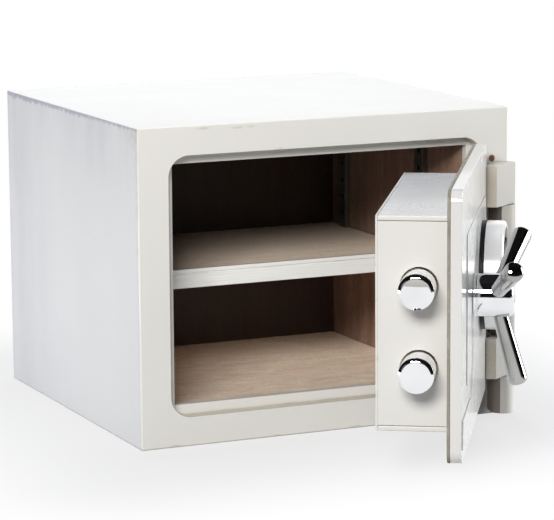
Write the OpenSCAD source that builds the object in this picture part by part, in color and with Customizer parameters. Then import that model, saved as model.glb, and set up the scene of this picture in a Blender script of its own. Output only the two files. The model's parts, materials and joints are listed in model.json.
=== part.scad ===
/* [Cabinet] */
// Outer width
safe_w = 420; // [400:5:500]
// Outer depth, front frame to back plate
safe_d = 400; // [380:5:480]
// Outer height
safe_h = 330; // [325:5:400]
// Thickness of the outer steel plates
shell_t = 3; // [2:0.5:4]
// Width of the front rail on the latch side
latch_rail = 33.5; // [32:0.5:40]
// Width of the front rail on the hinge side
hinge_rail = 31; // [30:0.5:36]
// Height of the front rails above and below the opening
end_rail = 30.5; // [28:0.5:36]
// Depth of the rebate that the door closes into
frame_t = 16; // [15.8:0.1:18]
// Radius of the opening's corners
opening_r = 22; // [18:1:22]
// Thickness of the inner frame that the seal closes on
stop_t = 9.5; // [7:0.1:9.8]
// How far the inner frame stands inside the opening
stop_step = 10; // [8:0.5:11]
// Size of the round cap in the front frame
cap_d = 7; // [5:0.5:8]
// Distance of that cap below the top
cap_drop = 54; // [46:0.5:55]

/* [Interior] */
// Thickness of the wood lining
lining_t = 8; // [6:0.5:10]
// Insulation and plate behind the back panel
back_wall = 45; // [30:1:60]
// Shelf's front edge, behind the front frame
shelf_front = 100; // [92:1:140]
// Height of the shelf's upper face
shelf_z = 161; // [140:1:180]
// Thickness of the shelf board
shelf_t = 14.5; // [12:0.5:18]
// Thickness of the metal edge trim
trim_t = 3; // [2:0.5:4]
// How far the trim stands above the shelf
trim_lip = 4; // [2:0.5:6]
// Depth of the trim's foot under the board
trim_foot = 12; // [8:1:20]
// Gap between the shelf and the walls
shelf_gap = 0.4; // [0.3:0.1:0.8]
// Radius of the shelf pins
pin_r = 3; // [2.5:0.5:4]
// Depth of the pins in the side panels
pin_in = 5; // [3:0.5:5.5]
// Length of the pins under the shelf
pin_out = 12; // [8:1:20]
// Front pins, behind the shelf's front edge
pin_front = 40; // [30:1:60]
// Rear pins, in front of the back panel
pin_rear = 60; // [40:1:80]
// Width of the slotted strips
strip_w = 20; // [14:1:24]
// How far the strips stand off the wall
strip_d = 6; // [4:0.5:8]
// Sheet thickness of the strips
strip_t = 1.5; // [1:0.1:2]
// Distance between the slots in a strip
slot_pitch = 19; // [14:1:24]
// Height of one slot
slot_h = 5; // [3:0.5:7]
// Lowest slot above the shelf
slot_first = 14; // [8:1:20]
// Middle of the front strips, behind the front frame
strip_front = 116.5; // [114:0.5:150]
// Middle of the rear strips, in front of the back panel
strip_rear = 36; // [20:1:60]

/* [Hinge] */
// Hinge axis, inward from the cabinet's right side
axis_in = 13; // [12.5:0.5:16]
// Hinge axis, forward of the front frame
axis_out = 14.5; // [14.5:0.1:16]
// Radius of the fixed knuckles
knuckle_r = 13; // [10:0.5:13.5]
// Radius of the door arms round the hinge pin
arm_r = 13.7; // [12.5:0.1:13.9]
// Radius of the hinge pins
hinge_pin_r = 5; // [4:0.5:6]
// Running clearance between pin and arm
pin_clear = 0.06; // [0.03:0.01:0.1]
// Length of each hinge pin
hinge_pin_l = 90; // [86:1:94]
// How far the lower pin goes into the middle knuckle
pin_engage = 22; // [18:1:26]
// Distance from the upper pin's end to its arm's top
pin_drop = 8; // [6:1:12]
// Underside of the lower knuckle
knuckle_z = 5; // [1:1:8]
// Height of the lower knuckle
low_knuckle_h = 40; // [37:0.5:43]
// Height of one door arm
arm_h = 43.5; // [38:0.5:46]
// Distance of the upper arm below the cabinet's top
up_arm_drop = 57.5; // [53:0.5:62]
// Gap between a knuckle and an arm
knuckle_gap = 0.5; // [0.3:0.1:1]
// How far an arm reaches over the door plate
arm_reach = 8; // [6:0.5:11]
// Height of the arm's wall off the plate
arm_foot = 11.2; // [10:0.2:12.4]
// Slope of the arm's front face, in degrees
arm_slope = 26; // [24:0.5:27]

/* [Door] */
// How far the door stands open from closed, in degrees
door_open = 58; // [0:0.1:110]
// Gap between the door plate and the opening
door_gap = 3.5; // [3:0.5:5]
// Thickness of the door plate
door_t = 11; // [10:0.5:11.5]
// Corner radius of the door plate
door_r = 13; // [13:1:18]
// Thickness of the seal
seal_t = 3; // [2:0.1:3.3]
// Gap between the seal and the inner frame when closed
seal_gap = 0.5; // [0.3:0.1:1]
// Depth of the box on the door's back
plug_d = 72.4; // [70:0.2:73]
// Height of that box
plug_h = 207; // [200:1:210]
// Distance from the plate's latch edge to the box
latch_set = 22; // [22:0.5:26]
// Distance from the plate's hinge edge to the box
hinge_set = 33.3; // [30:0.1:40]
// Sheet thickness of the box and its cover
pan_t = 2; // [1.5:0.1:2.2]
// Height of the lip that the box folds over the bolt plate
pan_lip = 4.8; // [3:0.2:6]
// Thickness of the bolt plate
bolt_plate_t = 4; // [3:0.5:5]
// Seam between the lip and the bolt plate
seam = 0.5; // [0.3:0.1:0.8]
// Thickness of the board behind the door plate
front_board_t = 12; // [8:0.2:12]
// Thickness of the insulation inside the cover
rear_board_t = 19.5; // [15:0.5:19.8]
// Shank radius of the cover screws
screw_r = 2; // [1.5:0.1:2.5]
// Cover screws, from the box's edges
screw_in = 14; // [12:1:18]
// Cover screws at the latch side, from the box's edge
screw_latch = 18; // [16:1:24]
// Raised panel: its start from the plate's hinge edge
panel_u = 23; // [19:1:24]
// Width of the raised panel
panel_w = 262; // [250:1:280]
// Its lower edge below the door's middle
panel_v = 67; // [65:1:71]
// Height of the raised panel
panel_h = 147; // [140:1:150]
// Thickness of the raised panel
panel_t = 1; // [0.6:0.1:1.2]
// Blank badge plate: width
badge_w = 108; // [60:1:110]
// Blank badge plate: height
badge_h = 28; // [16:1:34]
// Blank badge plate: thickness
badge_t = 1.5; // [1:0.1:2]
// Blank badge plate: distance from the latch edge
badge_in = 6; // [4:0.5:14]
// Blank badge plate: height above the lower edge
badge_v = 14; // [12:1:20]

/* [Boltwork] */
// Diameter of the locking bolts
bolt_d = 34.7; // [30:0.1:34.8]
// How far the bolts stand out when thrown
bolt_out = 35; // [33:0.5:37]
// Gap between pinion and carrier with the bolts drawn back
carrier_gap = 12; // [11:0.5:16]
// Chamfer at the bolt's nose
bolt_chamfer = 3; // [2:0.5:5]
// Bolt axis behind the door plate's back
bolt_back = 31; // [31:0.1:31.4]
// Upper bolt above the door's middle
upper_bolt_v = 36.6; // [33:0.2:39]
// Lower bolt below the door's middle
lower_bolt_v = 42.8; // [39:0.2:47]
// Running clearance of a bolt in its bush
bolt_clear = 0.07; // [0.03:0.01:0.1]
// Wall of a bush
bush_t = 1.5; // [1:0.1:1.6]
// Length of a bush
bush_l = 18; // [12:1:20]
// Clearance round a bolt in its strike slot
strike_clear = 1.2; // [1:0.1:2]
// Depth of the strike bar along the wall
strike_d = 44.5; // [42:0.5:60]
// Thickness of the carrier bar
carrier_t = 8; // [6:0.5:10]
// How far the carrier bar reaches past the bolts' axes
carrier_over = 22; // [19:1:24]
// Gear module of pinion and rack
gear_m = 2; // [1.9:0.05:2.05]
// Teeth of the pinion
gear_teeth = 18; // [18:1:18]
// Thickness of pinion and rack
gear_t = 8; // [6:0.5:9]
// Play between the teeth
backlash = 0.3; // [0.25:0.05:0.4]
// Handle turn from thrown to drawn back, in degrees
handle_turn = 90; // [80:1:92]
// Width of the lock case
case_w = 70; // [60:1:80]
// Gap between the lock case and the top of the box
case_gap = 3.4; // [2:0.2:12]
// Thickness of the lock case
case_t = 32; // [28:1:34]
// Width of the lock bolt
lock_bolt_w = 12; // [9:0.5:14]
// Lift of the lock bolt over the whole travel
lock_lift = 8; // [6:0.5:8.5]
// Gap between sliding faces
slide_gap = 0.3; // [0.2:0.05:0.4]

/* [Handle] */
// Handle axis from the hinge edge, as a share of the plate's width
hub_u = 0.5813; // [0.57:0.0001:0.59]
// Handle axis above the door's middle
hub_v = 6.9; // [5:0.1:8]
// Diameter of the hub
hub_d = 42.5; // [38:0.5:44]
// Height of the hub off the door plate
hub_l = 41; // [39:0.5:46]
// Rounding of the hub's front edge
hub_round = 6; // [3:0.5:8]
// Diameter of the spindle
spindle_d = 16; // [14:0.5:18]
// Running clearance of the spindle in the door plate
spindle_clear = 0.05; // [0.03:0.01:0.1]
// Reach of a spoke from the axis to its ball's centre
spoke_reach = 81.5; // [74:0.5:84]
// Height where the spokes' centre lines meet
spoke_n = 21.7; // [21.5:0.1:24]
// Slope of the spokes away from the door, in degrees
spoke_rise = 14.7; // [14.7:0.1:18]
// Diameter of a spoke at the hub
spoke_d = 14.8; // [12:0.2:15]
// Diameter of a spoke's round end
ball_d = 19.6; // [16:0.2:19.8]
// Angle of the first spoke above the latch side, in degrees
spoke_phase = 25.3; // [20:0.1:30]

/* [Keypad lock] */
// Lock centre from the hinge edge, as a share of the plate's width
lock_u = 0.2207; // [0.2195:0.0001:0.2265]
// Lock centre above the door's middle
lock_v = 4.8; // [-1:0.2:9]
// Diameter of the lock
lock_d = 112; // [106:1:112]
// Height of the black base ring
base_h = 4.8; // [4:0.1:6]
// Height of lock and ring off the door plate
lock_h = 25; // [24:0.5:28.5]
// Rounding of the lock's front edge
lock_round = 3.5; // [2:0.5:4]
// Wall of the lock housing
housing_t = 3.5; // [3:0.1:4]
// Thickness of the face plate
face_t = 2; // [1.5:0.1:2.2]
// Depth of the face below the rim
face_drop = 2; // [1.6:0.1:2.2]
// Width of the rim inside the housing's wall
rim_w = 2.5; // [2:0.1:3]
// Gap between the circuit board and the housing
board_gap = 8.5; // [6:0.5:10]
// Radius of the posts under the board
post_r = 3; // [2:0.5:4]
// Radius of a key
key_r = 7.3; // [6.5:0.1:7.5]
// Gap round a key
key_gap = 0.3; // [0.25:0.05:0.4]
// Distance between the key columns
key_dx = 20; // [18.5:0.5:21]
// Distance between the key rows
key_dy = 19; // [18.5:0.5:20]
// How far a key goes in
key_travel = 1.2; // [0.8:0.1:1.4]
// Height of a key above the face plate
key_proud = 1.8; // [1.5:0.1:1.9]

/* [Hidden] */
$fn = 96;
front_y = -safe_d / 2;
left_x = -safe_w / 2;
right_x = safe_w / 2;
// Opening in the front frame
open_x0 = left_x + latch_rail;
open_x1 = right_x - hinge_rail;
open_z0 = end_rail;
open_z1 = safe_h - end_rail;
stop_y = front_y + frame_t;
inside_y = stop_y + stop_t;
// Clear space inside the lining
room_x0 = open_x0 + stop_step;
room_x1 = open_x1 - stop_step;
room_y1 = safe_d / 2 - back_wall - lining_t;
room_w = room_x1 - room_x0;
strike_y1 = inside_y + strike_d;
shelf_y0 = front_y + shelf_front;
pin_z = shelf_z - shelf_t - pin_r;
pin_ys = [shelf_y0 + pin_front, room_y1 - pin_rear];
strip_ys = [front_y + strip_front, room_y1 - strip_rear];
strip_top = open_z1 - 0.3;
// Hinge
axis_x = right_x - axis_in;
axis_y = front_y - axis_out;
low_arm_z = knuckle_z + low_knuckle_h + knuckle_gap;
mid_knuckle_z = low_arm_z + arm_h + knuckle_gap;
up_arm_z = safe_h - up_arm_drop - arm_h;
mid_knuckle_h = up_arm_z - knuckle_gap - mid_knuckle_z;
low_pin_z = mid_knuckle_z + pin_engage - hinge_pin_l;
up_pin_z = up_arm_z + arm_h - pin_drop - hinge_pin_l;
// Door plate, drawn closed and then swung
plate_x0 = open_x0 + door_gap;
plate_x1 = open_x1 - door_gap;
plate_z0 = open_z0 + door_gap;
plate_z1 = open_z1 - door_gap;
plate_w = plate_x1 - plate_x0;
plate_h = plate_z1 - plate_z0;
plate_mid_z = (plate_z0 + plate_z1) / 2;
back_y = stop_y - seal_gap - seal_t;
face_y = back_y - door_t;
plug_x0 = plate_x0 + latch_set;
plug_x1 = plate_x1 - hinge_set;
plug_z0 = plate_mid_z - plug_h / 2;
plug_z1 = plug_z0 + plug_h;
plug_w = plug_x1 - plug_x0;
cover_y = back_y + plug_d - pan_t;
plate_seat_x = plug_x0 + bolt_plate_t;
screw_xs = [plug_x0 + screw_latch, (plug_x0 + plug_x1) / 2, plug_x1 - screw_in];
screw_zs = [plug_z0 + screw_in, plug_z1 - screw_in];
// Boltwork
bolt_r = bolt_d / 2;
bolt_y = back_y + bolt_back;
bolt_zs = [plate_mid_z - lower_bolt_v, plate_mid_z + upper_bolt_v];
bolt_tip_x = plug_x0 - bolt_out;
strike_r = bolt_r + strike_clear;
hub_x = plate_x1 - hub_u * plate_w;
hub_z = plate_mid_z + hub_v;
pitch_r = gear_m * gear_teeth / 2;
travel = handle_turn * PI / 180 * pitch_r;
rack_z = hub_z + pitch_r;
rack_top = rack_z + 10;
gear_y0 = bolt_y - gear_t / 2;
pressure = 25;
addendum = 0.8 * gear_m;
dedendum = gear_m;
tooth_step = PI * gear_m;
tip_r = pitch_r + addendum;
root_r = pitch_r - dedendum;
base_r = pitch_r * cos(pressure);
bolt_tail_x = hub_x - tip_r - carrier_gap - travel - carrier_t;
bolt_l = bolt_tail_x - bolt_tip_x;
carrier_z0 = bolt_zs[0] - carrier_over;
carrier_z1 = bolt_zs[1] + carrier_over;
lock_bolt_x = hub_x + 37;
ramp = lock_lift / travel;
ramp_x1 = lock_bolt_x + lock_bolt_w / 2 + 0.5;
ramp_x0 = lock_bolt_x - lock_bolt_w / 2 - travel - 0.5;
ramp_low = rack_top + 0.5;
ramp_high = ramp_low + (ramp_x1 - ramp_x0) * ramp;
case_x0 = lock_bolt_x - 15;
case_z0 = ramp_high + 1;
case_z1 = plug_z1 - pan_t - case_gap;
lock_bolt_top = case_z0 + 18;
// Keypad
lock_x = plate_x1 - lock_u * plate_w;
lock_z = plate_mid_z + lock_v;
lock_r = lock_d / 2;
base_top = panel_t + base_h;
face_top = lock_h - face_drop;
face_low = face_top - face_t;
board_n = base_top + 6;
board_t = 1.6;
board_r = lock_r - housing_t - board_gap;
flange_t = 1.2;
key_stem_n = board_n + board_t + key_travel + 0.3;
white = [0.86, 0.86, 0.84];
grey = [0.72, 0.73, 0.74];
steel = [0.62, 0.63, 0.65];
chrome = [0.85, 0.86, 0.88];
wood = [0.45, 0.33, 0.27];
board = [0.8, 0.79, 0.74];
black = [0.08, 0.08, 0.09];

// A box between two corners
module block(a, b) {
    translate(a)
        cube(b - a);
}

// A rectangle with rounded corners, from its lower left corner
module round_rect(w, h, r) {
    translate([r, 0])
        square([w - 2 * r, h]);
    translate([0, r])
        square([w, h - 2 * r]);
    for (x = [r, w - r], y = [r, h - r])
        translate([x, y])
            circle(r);
}

// An outline seen from the front, made thick backwards from y
module upright(y, t) {
    translate([0, y + t, 0])
        rotate([90, 0, 0])
            linear_extrude(t)
                children();
}

// What belongs to the door is drawn closed, then swung open
module swung() {
    translate([axis_x, axis_y, 0])
        rotate([0, 0, door_open])
            translate([-axis_x, -axis_y, 0])
                children();
}

// Sits on the plate's front face with the local Z outward
module on_face(x, z) {
    translate([x, face_y, z])
        rotate([90, 0, 0])
            children();
}

module plate_outline() {
    translate([plate_x0, plate_z0])
        round_rect(plate_w, plate_h, door_r);
}

// Cabinet

module front_frame() {
    color(white)
        upright(front_y, frame_t)
            difference() {
                translate([left_x, 0])
                    square([safe_w, safe_h]);
                translate([open_x0, open_z0])
                    round_rect(open_x1 - open_x0, open_z1 - open_z0, opening_r);
            }
}

module inner_frame() {
    color(white)
        upright(stop_y, stop_t)
            difference() {
                translate([left_x + shell_t, shell_t])
                    square([safe_w - 2 * shell_t, safe_h - 2 * shell_t]);
                translate([room_x0, open_z0 + stop_step])
                    square([room_w, open_z1 - open_z0 - 2 * stop_step]);
            }
}

module top_plate() {
    color(white)
        block([left_x, stop_y, safe_h - shell_t], [right_x, safe_d / 2, safe_h]);
}

module bottom_plate() {
    color(grey)
        block([left_x, stop_y, 0], [right_x, safe_d / 2, shell_t]);
}

module left_side() {
    color(grey)
        block([left_x, stop_y, shell_t], [left_x + shell_t, safe_d / 2, safe_h - shell_t]);
}

module right_side() {
    color(grey)
        block([right_x - shell_t, stop_y, shell_t], [right_x, safe_d / 2, safe_h - shell_t]);
}

module back_plate() {
    color(grey)
        block([left_x + shell_t, safe_d / 2 - shell_t, shell_t],
            [right_x - shell_t, safe_d / 2, safe_h - shell_t]);
}

// The slot that a thrown bolt stands in, open to the inner frame
module bolt_slot(x0, x1, z) {
    translate([x0, bolt_y, z])
        rotate([0, 90, 0])
            cylinder(h = x1 - x0, r = strike_r);
    block([x0, inside_y - 1, z - strike_r], [x1, bolt_y, z + strike_r]);
}

module insulation_fill() {
    color(board)
        difference() {
            block([left_x + shell_t, inside_y, shell_t],
                [right_x - shell_t, safe_d / 2 - shell_t, safe_h - shell_t]);
            block([room_x0 - lining_t, inside_y - 1, open_z0 - lining_t],
                [room_x1 + lining_t, room_y1 + lining_t, open_z1 + lining_t]);
            for (z = bolt_zs)
                bolt_slot(bolt_tip_x - 4, room_x0, z);
        }
}

module strike_bar() {
    color(steel)
        difference() {
            block([room_x0 - lining_t, inside_y, open_z0], [room_x0, strike_y1, open_z1]);
            for (z = bolt_zs)
                bolt_slot(room_x0 - lining_t - 1, room_x0 + 1, z);
        }
}

module wood_floor() {
    color(wood)
        block([room_x0 - lining_t, inside_y, open_z0 - lining_t],
            [room_x1 + lining_t, room_y1 + lining_t, open_z0]);
}

module wood_ceiling() {
    color(wood)
        block([room_x0 - lining_t, inside_y, open_z1],
            [room_x1 + lining_t, room_y1 + lining_t, open_z1 + lining_t]);
}

module wood_back() {
    color(wood)
        block([room_x0 - lining_t, room_y1, open_z0],
            [room_x1 + lining_t, room_y1 + lining_t, open_z1]);
}

// The four shelf pins, set into the side panels
module pins() {
    for (y = pin_ys) {
        translate([room_x0 - pin_in, y, pin_z])
            rotate([0, 90, 0])
                cylinder(h = pin_in + pin_out, r = pin_r, $fn = 32);
        translate([room_x1 - pin_out, y, pin_z])
            rotate([0, 90, 0])
                cylinder(h = pin_in + pin_out, r = pin_r, $fn = 32);
    }
}

module wood_left() {
    color(wood)
        difference() {
            block([room_x0 - lining_t, strike_y1, open_z0], [room_x0, room_y1, open_z1]);
            pins();
        }
}

module wood_right() {
    color(wood)
        difference() {
            block([room_x1, inside_y, open_z0], [room_x1 + lining_t, room_y1, open_z1]);
            pins();
        }
}

module shelf_board() {
    color(wood)
        block([room_x0 + shelf_gap, shelf_y0 + trim_t, shelf_z - shelf_t],
            [room_x1 - shelf_gap, room_y1 - shelf_gap, shelf_z]);
}

// Edge strip with a broad face, a groove, a raised lip and a foot under the board
module shelf_trim() {
    low = shelf_z - shelf_t;
    foot_t = 1.5;
    groove = 1;
    color(grey)
        translate([room_x0 + shelf_gap, 0, 0])
            rotate([90, 0, 90])
                linear_extrude(room_w - 2 * shelf_gap)
                    polygon([
                        [shelf_y0, low - foot_t],
                        [shelf_y0 + trim_t + trim_foot, low - foot_t],
                        [shelf_y0 + trim_t + trim_foot, low],
                        [shelf_y0 + trim_t, low],
                        [shelf_y0 + trim_t, shelf_z + trim_lip],
                        [shelf_y0, shelf_z + trim_lip],
                        [shelf_y0, shelf_z],
                        [shelf_y0 + groove, shelf_z],
                        [shelf_y0 + groove, shelf_z - 1.5],
                        [shelf_y0, shelf_z - 1.5]
                    ]);
}

module shelf_pins() {
    color(steel)
        pins();
}

// A folded channel with slots, its open side against the wall at x = 0
module slotted_strip() {
    difference() {
        block([0, -strip_w / 2, shelf_z], [strip_d, strip_w / 2, strip_top]);
        block([-1, strip_t - strip_w / 2, shelf_z - 1],
            [strip_d - strip_t, strip_w / 2 - strip_t, strip_top + 1]);
        for (z = [shelf_z + slot_first : slot_pitch : strip_top - slot_h - 3])
            block([-1, -strip_w / 5, z], [strip_d + 1, strip_w / 5, z + slot_h]);
    }
}

module slotted_strips() {
    color(grey)
        for (y = strip_ys) {
            translate([room_x0, y, 0])
                slotted_strip();
            translate([room_x1, y, 0])
                mirror([1, 0, 0])
                    slotted_strip();
        }
}

// A fixed knuckle: a barrel round the hinge axis on a foot against the front frame
module knuckle(z, h) {
    translate([axis_x, axis_y, z])
        cylinder(h = h, r = knuckle_r);
    block([axis_x - knuckle_r + 3, axis_y, z], [axis_x + knuckle_r - 3, front_y, z + h]);
}

module pins_of_hinge() {
    for (z = [low_pin_z, up_pin_z])
        translate([axis_x, axis_y, z])
            cylinder(h = hinge_pin_l, r = hinge_pin_r);
}

module lower_knuckle() {
    color(white)
        difference() {
            knuckle(knuckle_z, low_knuckle_h);
            pins_of_hinge();
        }
}

module middle_knuckle() {
    color(white)
        difference() {
            knuckle(mid_knuckle_z, mid_knuckle_h);
            pins_of_hinge();
        }
}

module hinge_pins() {
    color(steel)
        pins_of_hinge();
}

module frame_cap() {
    color("saddlebrown")
        translate([axis_x - 6, front_y, safe_h - cap_drop])
            rotate([90, 0, 0])
                cylinder(h = 0.5, d = cap_d, $fn = 32);
}

// Door

module door_plate() {
    color(white)
        swung()
            difference() {
                upright(face_y, door_t)
                    plate_outline();
                translate([hub_x, back_y + 1, hub_z])
                    rotate([90, 0, 0])
                        cylinder(h = door_t + 2, r = spindle_d / 2 + spindle_clear);
                translate([lock_x, back_y + 1, lock_z])
                    rotate([90, 0, 0])
                        cylinder(h = door_t + 2, r = 6);
            }
}

module door_seal() {
    color("tan")
        swung()
            upright(back_y, seal_t)
                difference() {
                    plate_outline();
                    translate([plug_x0, plug_z0])
                        square([plug_w, plug_h]);
                }
}

// Folded box: top, bottom and hinge side, with lips over the bolt plate
module door_pan() {
    color(white)
        swung()
            difference() {
                block([plug_x0, back_y, plug_z0], [plug_x1, cover_y, plug_z1]);
                block([plug_x0 + pan_t, back_y - 1, plug_z0 + pan_t],
                    [plug_x1 - pan_t, cover_y + 1, plug_z1 - pan_t]);
                block([plug_x0 - 1, back_y - 1, plug_z0 + pan_lip],
                    [plug_x1 - pan_t, cover_y + 1, plug_z1 - pan_lip]);
            }
}

module bolt_plate() {
    color(white)
        swung()
            difference() {
                union() {
                    block([plug_x0, back_y, plug_z0 + pan_lip + seam],
                        [plate_seat_x, cover_y, plug_z1 - pan_lip - seam]);
                    block([plug_x0 + pan_t, back_y, plug_z0 + pan_t],
                        [plate_seat_x, cover_y, plug_z1 - pan_t]);
                }
                for (z = bolt_zs)
                    translate([plug_x0 - 1, bolt_y, z])
                        rotate([0, 90, 0])
                            cylinder(h = bolt_plate_t + 2, r = bolt_r + 1);
            }
}

module bolt_bushes() {
    color("goldenrod")
        swung()
            for (z = bolt_zs)
                translate([plate_seat_x, bolt_y, z])
                    rotate([0, 90, 0])
                        difference() {
                            cylinder(h = bush_l, r = bolt_r + bolt_clear + bush_t);
                            translate([0, 0, -1])
                                cylinder(h = bush_l + 2, r = bolt_r + bolt_clear);
                        }
}

module front_board() {
    color(board)
        swung()
            difference() {
                block([plate_seat_x, back_y, plug_z0 + pan_t],
                    [plug_x1 - pan_t, back_y + front_board_t, plug_z1 - pan_t]);
                translate([hub_x, back_y - 1, hub_z])
                    rotate([-90, 0, 0])
                        cylinder(h = front_board_t + 2, r = spindle_d / 2 + 1);
                translate([lock_x, back_y - 1, lock_z])
                    rotate([-90, 0, 0])
                        cylinder(h = front_board_t + 2, r = 6);
            }
}

// The screws of the inner cover, as solids
module screws() {
    for (x = screw_xs, z = screw_zs)
        translate([x, cover_y - 14, z])
            rotate([-90, 0, 0]) {
                cylinder(h = 14 + pan_t, r = screw_r, $fn = 32);
                translate([0, 0, 14 + pan_t])
                    cylinder(h = 1.4, r = screw_r * 2, $fn = 32);
            }
}

module rear_board() {
    color(board)
        swung()
            difference() {
                block([plate_seat_x, cover_y - rear_board_t, plug_z0 + pan_t],
                    [plug_x1 - pan_t, cover_y, plug_z1 - pan_t]);
                screws();
            }
}

module inner_cover() {
    color(white)
        swung()
            difference() {
                block([plug_x0, cover_y, plug_z0], [plug_x1, cover_y + pan_t, plug_z1]);
                screws();
            }
}

module cover_screws() {
    color(steel)
        swung()
            screws();
}

// A hinge arm in plan: a wall on the plate, a flat sloping face and a round back
module arm(z) {
    wall_x = plate_x1 - arm_reach;
    wall_y = face_y - arm_foot;
    in_y = axis_y + arm_r;
    translate([0, 0, z])
        linear_extrude(arm_h)
            difference() {
                union() {
                    polygon([
                        [wall_x, face_y],
                        [wall_x, wall_y],
                        [axis_x, axis_y - arm_r],
                        [axis_x, in_y],
                        [plate_x1, in_y],
                        [plate_x1, face_y]
                    ]);
                    translate([axis_x, axis_y])
                        circle(arm_r);
                }
                translate([wall_x, wall_y])
                    rotate(-arm_slope)
                        translate([-arm_r, -2 * arm_r])
                            square([6 * arm_r, 2 * arm_r]);
            }
}

// A lower arm's bore goes through, an upper arm's is blind
module arm_bore(z, h) {
    translate([axis_x, axis_y, z])
        cylinder(h = h, r = hinge_pin_r + pin_clear);
}

module upper_arm() {
    color(white)
        swung()
            difference() {
                arm(up_arm_z);
                arm_bore(up_arm_z - 1, up_pin_z + hinge_pin_l + 1.3 - up_arm_z);
            }
}

module lower_arm() {
    color(white)
        swung()
            difference() {
                arm(low_arm_z);
                arm_bore(low_arm_z - 1, arm_h + 2);
            }
}

module raised_panel() {
    color(white)
        swung()
            difference() {
                upright(face_y - panel_t, panel_t)
                    translate([plate_x1 - panel_u - panel_w, plate_mid_z - panel_v])
                        square([panel_w, panel_h]);
                translate([hub_x, face_y + 1, hub_z])
                    rotate([90, 0, 0])
                        cylinder(h = panel_t + 2, r = spindle_d / 2 + 1);
                translate([lock_x, face_y + 1, lock_z])
                    rotate([90, 0, 0])
                        cylinder(h = panel_t + 2, r = 6);
            }
}

module badge_plate() {
    color(white)
        swung()
            upright(face_y - badge_t, badge_t)
                translate([plate_x0 + badge_in, plate_z0 + badge_v])
                    square([badge_w, badge_h]);
}

module carrier_guides() {
    x0 = bolt_tail_x - 6;
    x1 = bolt_tail_x + carrier_t + travel + 6;
    y0 = back_y + front_board_t;
    color(steel)
        swung() {
            block([x0, y0, carrier_z1 + slide_gap], [x1, bolt_y + 12, carrier_z1 + 6]);
            block([x0, y0, carrier_z0 - 6], [x1, bolt_y + 12, carrier_z0 - slide_gap]);
        }
}

module lock_case() {
    y0 = back_y + front_board_t;
    slot = lock_bolt_w / 2 + slide_gap;
    color(steel)
        swung()
            difference() {
                block([case_x0, y0, case_z0], [case_x0 + case_w, y0 + case_t, case_z1]);
                block([lock_bolt_x - slot, gear_y0 - slide_gap, case_z0 - 1],
                    [lock_bolt_x + slot, gear_y0 + gear_t + slide_gap, lock_bolt_top + lock_lift + 1]);
            }
}

// Keypad lock

module keypad_base() {
    color(black)
        swung()
            on_face(lock_x, lock_z)
                difference() {
                    union() {
                        difference() {
                            translate([0, 0, panel_t])
                                cylinder(h = base_h, r = lock_r);
                            translate([0, 0, panel_t + 2.5])
                                cylinder(h = base_h, r = lock_r - 6);
                        }
                        for (a = [45 : 90 : 315])
                            rotate(a)
                                translate([board_r - 2 * post_r, 0, panel_t + 1])
                                    cylinder(h = board_n - panel_t - 1, r = post_r, $fn = 32);
                    }
                    cylinder(h = base_top + 2, r = 6);
                }
}

// Column and row of each key, from the lock's centre
function key_x(i) = (i % 3 - 1) * key_dx;
function key_y(i) = (1.5 - floor(i / 3)) * key_dy;

module keypad_housing() {
    color("whitesmoke")
        swung()
            on_face(lock_x, lock_z)
                difference() {
                    union() {
                        translate([0, 0, base_top])
                            cylinder(h = lock_h - lock_round - base_top, r = lock_r);
                        translate([0, 0, base_top])
                            cylinder(h = lock_h - base_top, r = lock_r - lock_round);
                        translate([0, 0, lock_h - lock_round])
                            rotate_extrude()
                                translate([lock_r - lock_round, 0])
                                    circle(lock_round);
                    }
                    translate([0, 0, base_top - 1])
                        cylinder(h = face_low - base_top + 1, r = lock_r - housing_t);
                    translate([0, 0, face_top])
                        cylinder(h = face_drop + 1, r = lock_r - housing_t - rim_w);
                    for (i = [0 : 11])
                        translate([key_x(i), key_y(i), face_low - 1])
                            cylinder(h = face_t + 2, r = key_r + key_gap);
                }
}

module keypad_board() {
    color("darkgreen")
        swung()
            on_face(lock_x, lock_z)
                translate([0, 0, board_n])
                    cylinder(h = board_t, r = board_r);
}

// One push button: stem, retaining flange and cap
module key(i) {
    color(black)
        swung()
            on_face(lock_x, lock_z)
                translate([key_x(i), key_y(i), 0]) {
                    flange_n = face_low - key_gap - flange_t;
                    translate([0, 0, key_stem_n])
                        cylinder(h = flange_n - key_stem_n, r = 2, $fn = 32);
                    translate([0, 0, flange_n])
                        cylinder(h = flange_t, r = key_r + 1.3);
                    translate([0, 0, flange_n])
                        cylinder(h = face_top + key_proud - flange_n, r = key_r);
                }
}

module key_1() {
    key(0);
}

module key_2() {
    key(1);
}

module key_3() {
    key(2);
}

module key_4() {
    key(3);
}

module key_5() {
    key(4);
}

module key_6() {
    key(5);
}

module key_7() {
    key(6);
}

module key_8() {
    key(7);
}

module key_9() {
    key(8);
}

module key_clear() {
    key(9);
}

module key_0() {
    key(10);
}

module key_enter() {
    key(11);
}

// Handle

hub_n0 = panel_t + slide_gap;
spindle_n1 = hub_l - 14;

module hub_shape() {
    r = hub_d / 2;
    translate([0, 0, hub_n0])
        cylinder(h = hub_l - hub_round - hub_n0, r = r);
    translate([0, 0, hub_n0])
        cylinder(h = hub_l - hub_n0, r = r - hub_round);
    translate([0, 0, hub_l - hub_round])
        rotate_extrude()
            translate([r - hub_round, 0])
                circle(hub_round);
}

module handle_hub() {
    color(chrome)
        swung()
            on_face(hub_x, hub_z)
                difference() {
                    hub_shape();
                    translate([0, 0, -1])
                        cylinder(h = spindle_n1 + 1, r = spindle_d / 2);
                }
}

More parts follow.
